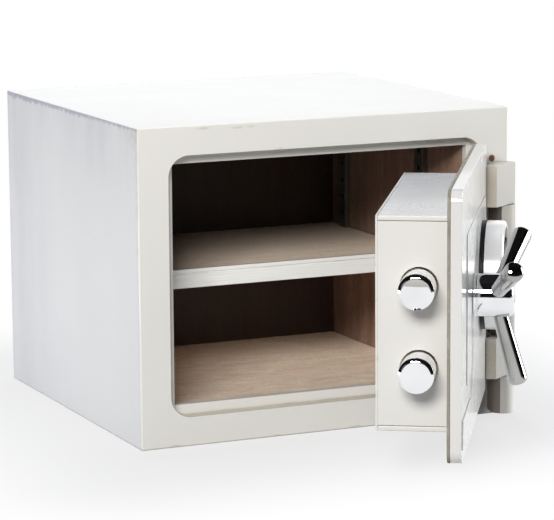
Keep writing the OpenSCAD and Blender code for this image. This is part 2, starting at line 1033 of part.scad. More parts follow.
module handle_spokes() {
    reach = spoke_reach / cos(spoke_rise);
    color(chrome)
        swung()
            on_face(hub_x, hub_z)
                difference() {
                    for (k = [0 : 2])
                        translate([0, 0, spoke_n])
                            rotate([0, 90 - spoke_rise, 180 - spoke_phase - 120 * k]) {
                                translate([0, 0, 12])
                                    cylinder(h = reach - 12, r1 = spoke_d / 2, r2 = ball_d / 2);
                                translate([0, 0, reach])
                                    sphere(d = ball_d);
                            }
                    hub_shape();
                }
}

module spindle() {
    n0 = face_y - bolt_y - gear_t / 2 - 3;
    color(steel)
        swung()
            on_face(hub_x, hub_z)
                translate([0, 0, n0])
                    cylinder(h = spindle_n1 - n0, r = spindle_d / 2);
}

// Half the angle of a tooth at radius r, from the involute of the base circle
function involute(a) = tan(a) * 180 / PI - a;
function half_tooth(r) =
    (tooth_step / 2 - backlash) / 2 / pitch_r * 180 / PI + involute(pressure)
    - involute(acos(min(1, pitch_r * cos(pressure) / r)));
flank = [for (k = [0 : 4]) base_r + (tip_r - base_r) * k / 4];
function tooth(a) = concat(
    [root_r * [cos(a + half_tooth(base_r)), sin(a + half_tooth(base_r))]],
    [for (k = [0 : 4]) flank[k] * [cos(a + half_tooth(flank[k])), sin(a + half_tooth(flank[k]))]],
    [for (k = [4 : -1 : 0]) flank[k] * [cos(a - half_tooth(flank[k])), sin(a - half_tooth(flank[k]))]],
    [root_r * [cos(a - half_tooth(base_r)), sin(a - half_tooth(base_r))]]);

module pinion() {
    color(steel)
        swung()
            on_face(hub_x, hub_z)
                translate([0, 0, face_y - gear_y0 - gear_t])
                    difference() {
                        linear_extrude(gear_t)
                            polygon([for (k = [0 : gear_teeth - 1])
                                each tooth(90 - 360 / gear_teeth * k)]);
                        translate([0, 0, -1])
                            cylinder(h = gear_t + 2, r = spindle_d / 2);
                    }
}

// Bolts, their carrier with its rack, and the lock's own bolt

module locking_bolts() {
    color(chrome)
        swung()
            for (z = bolt_zs)
                translate([bolt_tip_x, bolt_y, z])
                    rotate([0, 90, 0]) {
                        cylinder(h = bolt_chamfer, r1 = bolt_r - bolt_chamfer, r2 = bolt_r);
                        translate([0, 0, bolt_chamfer])
                            cylinder(h = bolt_l - bolt_chamfer, r = bolt_r);
                    }
}

module bolt_carrier() {
    lead = tan(pressure) * addendum;
    root = tan(pressure) * dedendum;
    half = tooth_step / 4;
    first = -ceil((travel + pitch_r / 2) / tooth_step);
    color(steel)
        swung() {
            block([bolt_tail_x, bolt_y - 12, carrier_z0],
                [bolt_tail_x + carrier_t, bolt_y + 12, carrier_z1]);
            upright(gear_y0, gear_t) {
                translate([bolt_tail_x + 1, rack_z + dedendum])
                    square([ramp_x1 + 2 - bolt_tail_x - 1, rack_top - rack_z - dedendum]);
                for (k = [first : 1])
                    translate([hub_x + (k + 0.5) * tooth_step, rack_z])
                        polygon([[-half - root, dedendum + 0.01], [half + root, dedendum + 0.01],
                            [half - lead, -addendum], [lead - half, -addendum]]);
                polygon([[ramp_x0, rack_top - 1], [ramp_x1, rack_top - 1],
                    [ramp_x1, ramp_low], [ramp_x0, ramp_high]]);
            }
        }
}

module lock_bolt() {
    x0 = lock_bolt_x - lock_bolt_w / 2;
    x1 = lock_bolt_x + lock_bolt_w / 2;
    color(steel)
        swung()
            upright(gear_y0, gear_t)
                polygon([[x0, ramp_low + (ramp_x1 - x0) * ramp + slide_gap],
                    [x1, ramp_low + (ramp_x1 - x1) * ramp + slide_gap],
                    [x1, lock_bolt_top], [x0, lock_bolt_top]]);
}

front_frame();
inner_frame();
top_plate();
bottom_plate();
left_side();
right_side();
back_plate();
insulation_fill();
strike_bar();
wood_floor();
wood_ceiling();
wood_left();
wood_right();
wood_back();
shelf_board();
shelf_trim();
shelf_pins();
slotted_strips();
lower_knuckle();
middle_knuckle();
hinge_pins();
frame_cap();
door_plate();
door_seal();
door_pan();
bolt_plate();
bolt_bushes();
front_board();
rear_board();
inner_cover();
cover_screws();
upper_arm();
lower_arm();
raised_panel();
badge_plate();
carrier_guides();
lock_case();
keypad_base();
keypad_housing();
keypad_board();
handle_hub();
handle_spokes();
spindle();
pinion();
locking_bolts();
bolt_carrier();
lock_bolt();
key_1();
key_2();
key_3();
key_4();
key_5();
key_6();
key_7();
key_8();
key_9();
key_clear();
key_0();
key_enter();
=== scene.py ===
import json
import math

import bmesh
import bpy
from mathutils import Matrix, Vector


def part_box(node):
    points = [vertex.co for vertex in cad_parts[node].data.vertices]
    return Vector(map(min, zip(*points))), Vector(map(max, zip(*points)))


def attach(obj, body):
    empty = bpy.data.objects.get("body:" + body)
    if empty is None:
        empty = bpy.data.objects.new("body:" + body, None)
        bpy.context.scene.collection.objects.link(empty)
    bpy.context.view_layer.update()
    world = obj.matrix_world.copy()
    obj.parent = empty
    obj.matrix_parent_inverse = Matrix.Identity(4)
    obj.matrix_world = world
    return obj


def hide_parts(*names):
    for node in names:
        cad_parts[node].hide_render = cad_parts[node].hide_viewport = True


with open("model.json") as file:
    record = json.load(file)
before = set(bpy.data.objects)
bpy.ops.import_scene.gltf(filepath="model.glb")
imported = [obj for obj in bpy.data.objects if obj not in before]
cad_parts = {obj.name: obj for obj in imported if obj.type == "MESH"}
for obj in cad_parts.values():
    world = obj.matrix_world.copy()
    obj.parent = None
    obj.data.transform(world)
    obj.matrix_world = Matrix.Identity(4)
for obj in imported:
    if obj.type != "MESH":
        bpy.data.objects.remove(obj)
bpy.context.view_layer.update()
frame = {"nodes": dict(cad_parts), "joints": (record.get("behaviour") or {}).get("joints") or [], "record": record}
nodes = frame["nodes"]
joints = {j["name"]: j for j in frame["joints"]}
bodyOf = {node: body for body, held in frame["record"]["behaviour"]["bodies"].items() for node in held}
scene = bpy.context.scene

# The door's pieces are drawn shut and then swung to where the frame has them
hingeAt = Vector(joints["door_hinge"]["pos_m"])
doorTurn = -math.radians(joints["door_hinge"]["range_deg"][0])
swing = Matrix.Translation(hingeAt) @ Matrix.Rotation(doorTurn, 4, "Z") @ Matrix.Translation(-hingeAt)


def closedBox(node):  # a door node's lowest and highest corners with the door shut
    places = [swing.inverted() @ v.co for v in nodes[node].data.vertices]
    low = Vector([min(p[i] for p in places) for i in range(3)])
    high = Vector([max(p[i] for p in places) for i in range(3)])
    return low, high


faceY = closedBox("door_plate")[0].y


def onFace(x, z):  # local Z points outward from the door's front
    return swing @ Matrix.Translation((x, faceY, z)) @ Matrix.Rotation(math.pi / 2, 4, "X")


# Camera and lamps

cameraSet = {
    "place": (-1.23755, -2.83958, 0.67805), "turn": -24.0765, "tilt": 9.6633, "roll": -0.4150,
    "lens": 185.75, "sensor": 36, "farthest": 60,
}

lamps = {
    "keyLamp": {"at": (-1.77, -2.60, 1.72), "aim": (0, -0.1, 0.15), "size": (1.3, 0.9), "power": 118,
                "colour": (1.0, 0.985, 0.955)},
    "topLamp": {"at": (0.0, 0.38, 1.9), "aim": (0, 0.1, 0.2), "size": (0.9, 0.9), "power": 6.0,
                "spread": 75, "mirrored": False, "colour": (0.88, 0.94, 1.0)},
    "leftLamp": {"at": (-3.0, -0.7, 1.0), "aim": (0, 0, 0.15), "size": (1.4, 1.4), "power": 1.5,
                 "colour": (0.93, 0.96, 1.0)},
    "rightLamp": {"at": (3.40, -0.70, 0.9), "aim": (0.1, -0.3, 0.15), "size": (1.5, 2.0), "power": 112,
                  "colour": (1.0, 0.995, 0.985)},
    "lowLamp": {"at": (-0.85, 0.25, 0.06), "aim": (-0.21, 0.2, 0.05), "size": (0.9, 0.12), "power": 2.4,
                "colour": (0.95, 0.97, 1.0)},
}


def addCamera():
    look = bpy.data.cameras.new("camera")
    look.sensor_width = cameraSet["sensor"]
    look.lens = cameraSet["lens"]
    look.clip_end = cameraSet["farthest"]
    eye = bpy.data.objects.new("camera", look)
    turn, tilt, roll = [math.radians(cameraSet[k]) for k in ("turn", "tilt", "roll")]
    eye.matrix_world = (Matrix.Translation(cameraSet["place"]) @ Matrix.Rotation(turn, 4, "Z")
                        @ Matrix.Rotation(math.pi / 2 - tilt, 4, "X") @ Matrix.Rotation(roll, 4, "Z"))
    scene.collection.objects.link(eye)
    scene.camera = eye


def addLamps():
    for name, spec in lamps.items():
        lamp = bpy.data.lights.new(name, "AREA")
        lamp.shape = "RECTANGLE"
        lamp.size, lamp.size_y = spec["size"]
        lamp.energy = spec["power"]
        lamp.color = spec["colour"]
        lamp.spread = math.radians(spec.get("spread", 180))
        holder = bpy.data.objects.new(name, lamp)
        holder.location = spec["at"]
        holder.visible_glossy = spec.get("mirrored", True)
        holder.rotation_euler = (Vector(spec["at"]) - Vector(spec["aim"])).to_track_quat("Z", "Y").to_euler()
        scene.collection.objects.link(holder)


# Small helpers for shader nodes

def feed(tree, node, values):  # links other sockets, or sets numbers, vectors and colours
    for key, value in values.items():
        socket = node.inputs[key]
        if isinstance(value, bpy.types.NodeSocket):
            tree.links.new(value, socket)
        elif socket.type == "RGBA":
            socket.default_value = (*value, 1)
        else:
            socket.default_value = value


def addNode(tree, kind, inputs=None, **settings):  # gives back the new node's outputs
    made = tree.nodes.new("ShaderNode" + kind)
    for key, value in settings.items():
        setattr(made, key, value)
    feed(tree, made, inputs or {})
    return made.outputs


def mathNode(tree, operation, *values, clamp=False):
    return addNode(tree, "Math", dict(enumerate(values)), operation=operation, use_clamp=clamp)[0]


def times(tree, a, b, clamp=False):
    return mathNode(tree, "MULTIPLY", a, b, clamp=clamp)


def vectorNode(tree, operation, *values):
    made = addNode(tree, "VectorMath", dict(enumerate(values)), operation=operation)
    return made["Value" if operation in ("DOT_PRODUCT", "LENGTH") else "Vector"]


def stretch(tree, vector, amounts):
    return vectorNode(tree, "MULTIPLY", vector, amounts)


def mix(tree, factor, a, b, blend="MIX"):
    return addNode(tree, "Mix", {0: factor, 6: a, 7: b}, data_type="RGBA", blend_type=blend)[2]


def spread(tree, value, fromLow, fromHigh, toLow=0, toHigh=1, kind="LINEAR"):
    return addNode(tree, "MapRange", {0: value, 1: fromLow, 2: fromHigh, 3: toLow, 4: toHigh},
                   interpolation_type=kind)[0]


def between(tree, low, high, share):
    return mathNode(tree, "MULTIPLY_ADD", share, mathNode(tree, "SUBTRACT", high, low), low)


def noise(tree, vector, scale, detail=3, roughness=0.5, distortion=0):
    return addNode(tree, "TexNoise", {"Vector": vector, "Scale": scale, "Detail": detail, "Roughness": roughness,
                                      "Distortion": distortion})["Fac"]


def makeGroup(name, inputs, outputs, build):  # a group's first input is its Vector; None makes one more
    group = bpy.data.node_groups.new(name, "ShaderNodeTree")
    for label, value in {"Vector": None, **inputs}.items():
        kind = "Vector" if value is None else "Color" if isinstance(value, tuple) else "Float"
        socket = group.interface.new_socket(label, in_out="INPUT", socket_type="NodeSocket" + kind)
        if value is not None:
            socket.default_value = (*value, 1) if kind == "Color" else value
    for label in outputs:
        kind = "Color" if label == "Colour" else "Float"
        group.interface.new_socket(label, in_out="OUTPUT", socket_type="NodeSocket" + kind)
    given = group.nodes.new("NodeGroupInput").outputs
    feed(group, group.nodes.new("NodeGroupOutput"), dict(zip(outputs, build(group, given))))
    return group


# Effects shared by several materials

def edgeWearNodes(tree, given):  # how much a rubbed edge shows
    soft = addNode(tree, "Bevel", {"Radius": given["Edge"]}, samples=6)[0]
    true = addNode(tree, "NewGeometry")["Normal"]
    bent = spread(tree, vectorNode(tree, "DOT_PRODUCT", soft, true), 0.995, 0.82)
    patch = noise(tree, given["Vector"], given["ChipSize"], 6, 0.62)
    rubbed = spread(tree, patch, given["Sparse"], mathNode(tree, "ADD", given["Sparse"], 0.12))
    return [times(tree, times(tree, bent, rubbed), given["Wear"], clamp=True)]


def dirtAndShadeNodes(tree, given):  # grime and painted shade that gather in corners and seams, from ambient occlusion
    near = addNode(tree, "AmbientOcclusion", {"Distance": given["Seam"]}, samples=6)["AO"]
    uneven = spread(tree, noise(tree, given["Vector"], 90, 4, 0.6), 0.3, 0.7, 0.35, 1)
    both = times(tree, spread(tree, near, 0.75, 0.25), uneven)
    return [times(tree, both, given["Dirt"], clamp=True)]


def chipNodes(tree, given):  # one small knock in the paint, ragged at its rim
    flat = stretch(tree, vectorNode(tree, "SUBTRACT", given["Vector"], given["Centre"]), (0.3, 0.5, 1.6))
    away = mathNode(tree, "DIVIDE", vectorNode(tree, "LENGTH", flat), given["Size"])
    ragged = mathNode(tree, "POWER", noise(tree, given["Vector"], 420, 5, 0.75), 2)
    return [spread(tree, mathNode(tree, "DIVIDE", away, ragged), 1.6, 4.2, 1, 0)]


def paintNodes(tree, given):  # sprayed enamel: cloudy tone, fine speckle, orange peel
    place = given["Vector"]
    clouds = spread(tree, noise(tree, place, 3.5, 4, 0.5), 0.35, 0.7)
    toned = mix(tree, times(tree, clouds, given["Clouds"]), given["Colour"], given["Tint"])
    grains = noise(tree, place, 1500, 2, 0.6)
    dots = times(tree, spread(tree, grains, 0.42, 0.62), given["Speckle"])
    wiped = spread(tree, noise(tree, place, 11, 5, 0.55), 0.35, 0.7)
    peel = noise(tree, place, 420, 2, 0.5)
    return [mix(tree, dots, toned, given["Tint"], "MULTIPLY"),
            between(tree, given["Smooth"], given["Rough"], wiped),
            mathNode(tree, "MULTIPLY_ADD", grains, 0.35, peel)]


def handlingNodes(tree, given):  # finger marks and fine hairlines on metal and plastic
    marks = spread(tree, noise(tree, given["Vector"], given["Smears"], 5, 0.6, 1.2), 0.45, 0.75)
    return [between(tree, given["Clean"], given["Marked"], marks), noise(tree, given["Vector"], 900, 2, 0.5)]


def brushedNodes(tree, given):  # long fine lines, along the vector's X
    lines = noise(tree, stretch(tree, given["Vector"], (18, 2600, 2600)), 1, 3, 0.6)
    shade = spread(tree, lines, 0.3, 0.7, 0.82, 1.06)
    grey = addNode(tree, "CombineColor", {0: shade, 1: shade, 2: shade})[0]
    return [mix(tree, 1, given["Colour"], grey, "MULTIPLY"),
            between(tree, given["Clean"], given["Marked"], lines), lines]


def woodNodes(tree, given):  # grain runs along the vector's X
    length = addNode(tree, "CombineXYZ", {0: given["Short"], 1: 1, 2: 1})[0]
    vector = stretch(tree, given["Vector"], length)
    bend = noise(tree, stretch(tree, vector, (2.5, 9, 9)), 1, 2, 0.5)
    shift = addNode(tree, "CombineXYZ", {0: 0, 1: bend, 2: bend})[0]
    bent = vectorNode(tree, "MULTIPLY_ADD", shift, (0, 0.09, 0.09), vector)
    figure = noise(tree, stretch(tree, bent, (3, 75, 75)), 1, 5, 0.62)
    fibres = noise(tree, stretch(tree, bent, (22, 900, 900)), 1, 3, 0.6)
    pores = spread(tree, noise(tree, stretch(tree, bent, (70, 1300, 1300)), 1, 1, 0.5),
                   0.62, 0.72, 0, 0.8)
    amount = times(tree, spread(tree, figure, 0.36, 0.64), given["Figure"])
    toned = mix(tree, amount, given["Light"], given["Dark"])
    lined = mix(tree, spread(tree, fibres, 0.45, 0.75, 0, 0.55), toned, given["Dark"])
    return [mix(tree, pores, lined, given["Pores"]), spread(tree, fibres, 0.3, 0.7, 0.36, 0.58),
            mathNode(tree, "SUBTRACT", fibres, pores)]


skinOutputs = ["Colour", "Roughness", "Height"]
edgeWear = makeGroup("edgeWear", {"Edge": 0.002, "ChipSize": 160, "Wear": 0.5, "Sparse": 0.54},
                     ["Mask"], edgeWearNodes)
# its mask is ambient occlusion: grime together with painted shade in corners, seams and under parts
crevice = makeGroup("crevice", {"Seam": 0.004, "Dirt": 0.5}, ["Mask"], dirtAndShadeNodes)
chip = makeGroup("chip", {"Centre": None, "Size": 0.002}, ["Mask"], chipNodes)
paintSurface = makeGroup("paintSurface", {
    "Colour": (0.8, 0.8, 0.8), "Tint": (0.7, 0.7, 0.7), "Clouds": 0.2, "Speckle": 0.1,
    "Smooth": 0.25, "Rough": 0.4}, skinOutputs, paintNodes)
handling = makeGroup("handling", {"Smears": 40, "Clean": 0.08, "Marked": 0.2},
                     ["Roughness", "Height"], handlingNodes)
brushed = makeGroup("brushed", {"Colour": (0.6, 0.6, 0.6), "Clean": 0.25, "Marked": 0.42},
                    skinOutputs, brushedNodes)
woodGrain = makeGroup("woodGrain", {
    "Light": (0.4, 0.3, 0.2), "Dark": (0.2, 0.12, 0.08), "Pores": (0.06, 0.035, 0.02),
    "Figure": 0.7, "Short": 1}, skinOutputs, woodNodes)
print("node groups ready:", len(bpy.data.node_groups))


# Materials

def newMaterial(name, values=None):
    material = bpy.data.materials.new(name)
    material.use_nodes = True
    feed(material.node_tree, material.node_tree.nodes["Principled BSDF"], values or {})
    return material


def startMaterial(name, turn=(0, 0, 0), centre=(0, 0, 0)):
    material = newMaterial(name)
    tree = material.node_tree
    given = {"Vector": addNode(tree, "TexCoord")["Object"], "Location": centre, "Rotation": turn}
    return material, tree, addNode(tree, "Mapping", given, vector_type="TEXTURE")[0]


def finishMaterial(material, values, height, strength, depth):
    tree = material.node_tree
    bump = addNode(tree, "Bump", {"Height": height, "Strength": strength, "Distance": depth})[0]
    feed(tree, tree.nodes["Principled BSDF"], {**values, "Normal": bump})
    return material


def useGroup(tree, group, place, look):  # a look's entry sets the input of the same name
    names = [socket.name for socket in group.interface.items_tree if socket.in_out == "INPUT"]
    given = {name: look[key] for name in names if (key := name[0].lower() + name[1:]) in look}
    return addNode(tree, "Group", {"Vector": place, **given}, node_tree=group)


onDoor = {"turn": (0, 0, doorTurn), "centre": tuple(hingeAt)}


def shadeAndWeatherSide(tree, place, colour, rim):  # painted shade toward the top and back edges, a brown stain and a ragged line along a side's edges
    split = addNode(tree, "SeparateXYZ", {0: place})
    down = mathNode(tree, "SUBTRACT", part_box("top_plate")[1].z, split["Z"])
    back = mathNode(tree, "SUBTRACT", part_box("back_plate")[1].y, split["Y"])
    front = mathNode(tree, "SUBTRACT", split["Y"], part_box("front_frame")[0].y)
    rough = noise(tree, place, 130, 6, 0.75)
    streak = noise(tree, stretch(tree, place, (30, 30, 5)), 1, 5, 0.6)
    # painted shade: the side darkens and turns bluer toward its top and back edges
    fadeDown = times(tree, spread(tree, down, 0, rim["hazeDown"], 1, 0), spread(tree, streak, 0.38, 0.66))
    fadeBack = times(tree, spread(tree, back, 0, rim["hazeBack"], 1, 0),
                     spread(tree, streak, 0.3, 0.6, 0.35, 1))
    haze = times(tree, mathNode(tree, "MAXIMUM", fadeDown, fadeBack), rim["hazeShare"])
    colour = mix(tree, haze, colour, rim["haze"])
    corner = spread(tree, mathNode(tree, "ADD", down, times(tree, front, 0.45)), 0, rim["cornerReach"], 1, 0)
    edge = times(tree, spread(tree, front, 0, rim["edgeReach"], 0.6, 0), spread(tree, down, 0, 0.33, 1, 0.25))
    stain = times(tree, mathNode(tree, "MAXIMUM", corner, edge), spread(tree, rough, 0.38, 0.62, 0, 0.9))
    colour = mix(tree, stain, colour, rim["brown"])
    reach = times(tree, mathNode(tree, "POWER", rough, 2), spread(tree, back, 0, 0.4, *rim["lineReach"]))
    upper = spread(tree, mathNode(tree, "SUBTRACT", down, reach), -0.0012, 0.0022, 1, 0)
    lower = spread(tree, mathNode(tree, "SUBTRACT", split["Z"], times(tree, rough, 0.003)), -0.0005, 0.001, 0.8, 0)
    return mix(tree, times(tree, mathNode(tree, "MAXIMUM", upper, lower), rim["lineShare"]), colour, rim["line"])


def paint(name, look, **placing):
    material, tree, place = startMaterial(name, **placing)
    coat, worn, dirt = [useGroup(tree, group, place, look) for group in (paintSurface, edgeWear, crevice)]
    colour = mix(tree, dirt["Mask"], coat["Colour"], look["dirtColour"])
    colour = mix(tree, worn["Mask"], colour, look["wearColour"])
    if "rim" in look:
        colour = shadeAndWeatherSide(tree, place, colour, look["rim"])
    for *centre, size in look.get("chips", ()):
        knock = useGroup(tree, chip, place, {"centre": centre, "size": size})["Mask"]
        colour = mix(tree, times(tree, knock, look["chipShare"]), colour, look["chipColour"])
    rough = mathNode(tree, "MULTIPLY_ADD", worn["Mask"], 0.3, coat["Roughness"])
    return finishMaterial(material, {
        "Base Color": colour, "Roughness": rough, "Coat Weight": look["coat"], "Coat Roughness": look["coatRough"],
        "Coat IOR": look["coatIor"],
    }, mathNode(tree, "SUBTRACT", coat["Height"], worn["Mask"]), look["bump"], 0.00012)


paintLook = {
    "colour": (0.66, 0.65, 0.625), "tint": (0.615, 0.605, 0.575), "clouds": 0.35, "speckle": 0.05,
    "smooth": 0.30, "rough": 0.38, "edge": 0.0024, "chipSize": 140, "wear": 0.6, "wearColour": (0.34, 0.27, 0.19),
    "seam": 0.0035, "dirt": 0.6, "dirtColour": (0.20, 0.165, 0.13), "coat": 0.2, "coatRough": 0.12, "coatIor": 1.5,
    "bump": 0.06,
}
# the door paint's near-black corner darkening is painted contact shade round the lock, hub and panels
doorLook = dict(paintLook, colour=(0.58, 0.575, 0.565), clouds=0.15, smooth=0.13, rough=0.19, coat=1, coatIor=1.55,
                coatRough=0.085, wear=0.4, bump=0.12, seam=0.0022, dirt=0.95, dirtColour=(0.07, 0.06, 0.05))
plugLook = dict(paintLook, colour=(0.605, 0.595, 0.575), tint=(0.56, 0.55, 0.53), clouds=0.12, speckle=0.2,
                smooth=0.3, rough=0.45, bump=0.15, coat=0.15, dirt=0.1)
# the hinge paint's strong brown corner darkening is painted shade between the hinge parts, with some grime
hingeLook = dict(paintLook, colour=(0.53, 0.52, 0.495), clouds=0.5, tint=(0.45, 0.41, 0.34), wear=0.8, dirt=0.9,
                 seam=0.006, dirtColour=(0.10, 0.07, 0.05))

whitePaint = paint("whitePaint", dict(paintLook, chipShare=0.36, chipColour=(0.40, 0.31, 0.20), chips=[
    (-0.138, -0.200, 0.3262, 0.0026), (-0.100, -0.200, 0.3250, 0.0022), (-0.086, -0.200, 0.3252, 0.0016),
    (-0.054, -0.200, 0.3006, 0.0018), (-0.172, -0.200, 0.0018, 0.0026), (-0.060, -0.200, 0.0014, 0.0020),
    (0.031, -0.200, 0.0018, 0.0026), (0.110, -0.200, 0.0200, 0.0016),
]))
# the sides' own grey paint, with painted shade toward the top and back edges, a brown corner stain and a ragged edge
# line
sidePaint = paint("sidePaint", dict(
    paintLook, colour=(0.605, 0.605, 0.62), tint=(0.52, 0.53, 0.56), clouds=0.5, speckle=0.08, wear=0.3,
    wearColour=(0.30, 0.295, 0.37), rough=0.42, rim={
        "haze": (0.46, 0.465, 0.50), "hazeDown": 0.075, "hazeBack": 0.16, "hazeShare": 0.75,
        "brown": (0.36, 0.30, 0.24), "cornerReach": 0.03, "edgeReach": 0.009,
        "line": (0.26, 0.265, 0.35), "lineReach": (0.022, 0.009), "lineShare": 0.85,
    }))
# painted shade: a darker, browner copy of the white paint for the walls of the opening's rebate
rebatePaint = paint("rebatePaint", dict(
    paintLook, colour=(0.62, 0.575, 0.49), tint=(0.42, 0.38, 0.30), clouds=0.5, speckle=0.15, smooth=0.36, rough=0.5,
    seam=0.006, dirt=0.8))
doorPaint = paint("doorPaint", doorLook, **onDoor)
# painted light: the door's outer face gets a much lighter copy of the door paint than the plate's edges
facePaint = paint("facePaint", dict(
    doorLook, colour=(0.84, 0.845, 0.855), tint=(0.78, 0.785, 0.795), coat=0.5, coatRough=0.1, smooth=0.22,
    rough=0.32, bump=0.16), **onDoor)
plugPaint = paint("plugPaint", plugLook, **onDoor)
knucklePaint = paint("knucklePaint", hingeLook)
armPaint = paint("armPaint", dict(hingeLook, colour=(0.45, 0.445, 0.43)), **onDoor)
# painted light: the plug's top is a lighter, bluer copy of the plug paint
plugTopPaint = paint("plugTopPaint", dict(
    plugLook, colour=(0.74, 0.74, 0.755), tint=(0.40, 0.40, 0.42), clouds=0.1, speckle=0.6, bump=0.25, smooth=0.24,
    rough=0.3, coat=0.4), **onDoor)
# painted reflection and shade: brown mottling on the arms' walls along the door plate
stainedPaint = paint("stainedPaint", dict(
    hingeLook, colour=(0.68, 0.64, 0.55), tint=(0.30, 0.235, 0.165), clouds=0.8, speckle=0.3, rough=0.5), **onDoor)
# painted shade: dark paint on the knuckles' faces toward the door, where the gap beside the door lies in shade
footPaint = paint("footPaint", dict(
    hingeLook, colour=(0.12, 0.095, 0.08), tint=(0.05, 0.035, 0.028), clouds=0.8, speckle=0.3, rough=0.6, coat=0.05,
    wearColour=(0.3, 0.24, 0.18)))
lowFootPaint = paint("lowFootPaint", dict(
    hingeLook, colour=(0.32, 0.28, 0.235), tint=(0.12, 0.095, 0.07), clouds=0.9, rough=0.5))
# painted light: a much lighter copy of the hinge paint for the lower knuckle
lowKnucklePaint = paint("lowKnucklePaint", dict(hingeLook, colour=(0.92, 0.90, 0.85)))


def metal(name, look, **placing):  # a look with a shade is polished or cast, one without is brushed
    material, tree, place = startMaterial(name, **placing)
    if "shade" in look:
        skin = useGroup(tree, handling, place, look)
        base = mix(tree, spread(tree, noise(tree, place, 30), 0.35, 0.7), look["colour"], look["shade"])
    else:
        skin = useGroup(tree, brushed, place, look)
        base = skin["Colour"]
    dirt = useGroup(tree, crevice, place, look)["Mask"]
    return finishMaterial(material, {
        "Base Color": mix(tree, dirt, base, look["grease"]), "Roughness": skin["Roughness"],
        "Metallic": look["metallic"],
    }, skin["Height"], look["bump"], 0.00003)


metalLook = {"metallic": 1, "seam": 0.002, "dirt": 0.5, "grease": (0.05, 0.045, 0.04)}
chromeLook = dict(metalLook, colour=(0.86, 0.87, 0.89), shade=(0.80, 0.81, 0.83), smears=55, clean=0.015,
                  marked=0.05, bump=0.03)
steelLook = dict(metalLook, colour=(0.56, 0.57, 0.59), clean=0.24, marked=0.42, bump=0.3)
trimLook = dict(metalLook, colour=(0.93, 0.93, 0.91), clean=0.26, marked=0.4, dirt=0.6, bump=0.1, metallic=0.12)
upright = (0, math.pi / 2, 0)

chrome = metal("chrome", chromeLook, **onDoor)
# painted shade: the spokes get a darker copy of the chrome, standing in for darker reflections
spokeChrome = metal("spokeChrome", dict(chromeLook, colour=(0.45, 0.45, 0.44), shade=(0.37, 0.37, 0.36)), **onDoor)
steel = metal("steel", steelLook)
doorSteel = metal("doorSteel", steelLook, **onDoor)
trimMetal = metal("trimMetal", trimLook)
stripMetal = metal("stripMetal", dict(trimLook, colour=(0.17, 0.155, 0.135), metallic=0.6), turn=upright)
bronze = metal("bronze", dict(
    metalLook, colour=(0.60, 0.50, 0.36), shade=(0.42, 0.33, 0.22), smears=80, clean=0.25, marked=0.45, dirt=0.6,
    bump=0.2), **onDoor)


def wood(name, look, seamAt=None, **placing):
    material, tree, place = startMaterial(name, **placing)
    grain = useGroup(tree, woodGrain, place, look)
    colour = mix(tree, useGroup(tree, crevice, place, look)["Mask"], grain["Colour"], look["pores"])
    if seamAt is not None:  # painted shade line of the gap where the board's front edge meets metal
        y = addNode(tree, "SeparateXYZ", {0: place})["Y"]
        solid, gone = look["seamLine"]
        colour = mix(tree, spread(tree, y, seamAt + solid, seamAt + gone, 0.9, 0), colour, look["pores"])
    return finishMaterial(material, {
        "Base Color": colour, "Roughness": grain["Roughness"], "Coat Weight": look["coat"], "Coat Roughness": 0.3,
    }, grain["Height"], 0.35, 0.0002)


lightWoodLook = {"light": (0.98, 0.88, 0.73), "dark": (0.72, 0.52, 0.41), "pores": (0.20, 0.10, 0.065),
                 "figure": 0.6, "short": 5, "coat": 0.08, "seam": 0.006, "dirt": 0.5, "seamLine": (0.0085, 0.0125)}
# painted shade: darker copies of the lining's wood for the back, ceiling and side walls deep inside
shadedWoodLook = dict(lightWoodLook, light=(0.045, 0.022, 0.014), dark=(0.022, 0.010, 0.007),
                    pores=(0.008, 0.004, 0.003), short=1.5, coat=0.03)
shelfShift = (0.2, 0.11, 0.4)  # gives the shelf other grain than the floor
floorWood = wood("floorWood", lightWoodLook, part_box("wood_floor")[0].y, centre=(0, 0, 0.03))
# painted light: the shelf gets a lighter copy of the floor's wood
shelfWood = wood("shelfWood", dict(lightWoodLook, light=(1, 0.88, 0.73), dark=(0.88, 0.66, 0.53)),
                 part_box("shelf_trim")[1].y - shelfShift[1], centre=shelfShift)
backWood = wood("backWood", shadedWoodLook, turn=upright, centre=(0.1, 0, 0))
sideWood = wood("sideWood", dict(shadedWoodLook, light=(0.36, 0.23, 0.17), dark=(0.18, 0.10, 0.07)),
                turn=upright, centre=(0, 0.2, 0.1))
ceilingWood = wood("ceilingWood", shadedWoodLook, centre=(0.3, 0, 0))


def plastic(name, look, **placing):
    material, tree, place = startMaterial(name, **placing)
    tone = spread(tree, noise(tree, place, look["grain"], 3, 0.6), 0.35, 0.65)
    colour = mix(tree, tone, look["colour"], look["shade"])
    colour = mix(tree, useGroup(tree, edgeWear, place, look)["Mask"], colour, look["worn"])
    colour = mix(tree, useGroup(tree, crevice, place, look)["Mask"], colour, look["dust"])
    return finishMaterial(material, {
        "Base Color": colour, "Roughness": useGroup(tree, handling, place, look)["Roughness"],
        "Metallic": look["metallic"], "Specular IOR Level": look["gloss"],
    }, noise(tree, place, look["grain"], 2, 0.5), look["bump"], 0.00008)


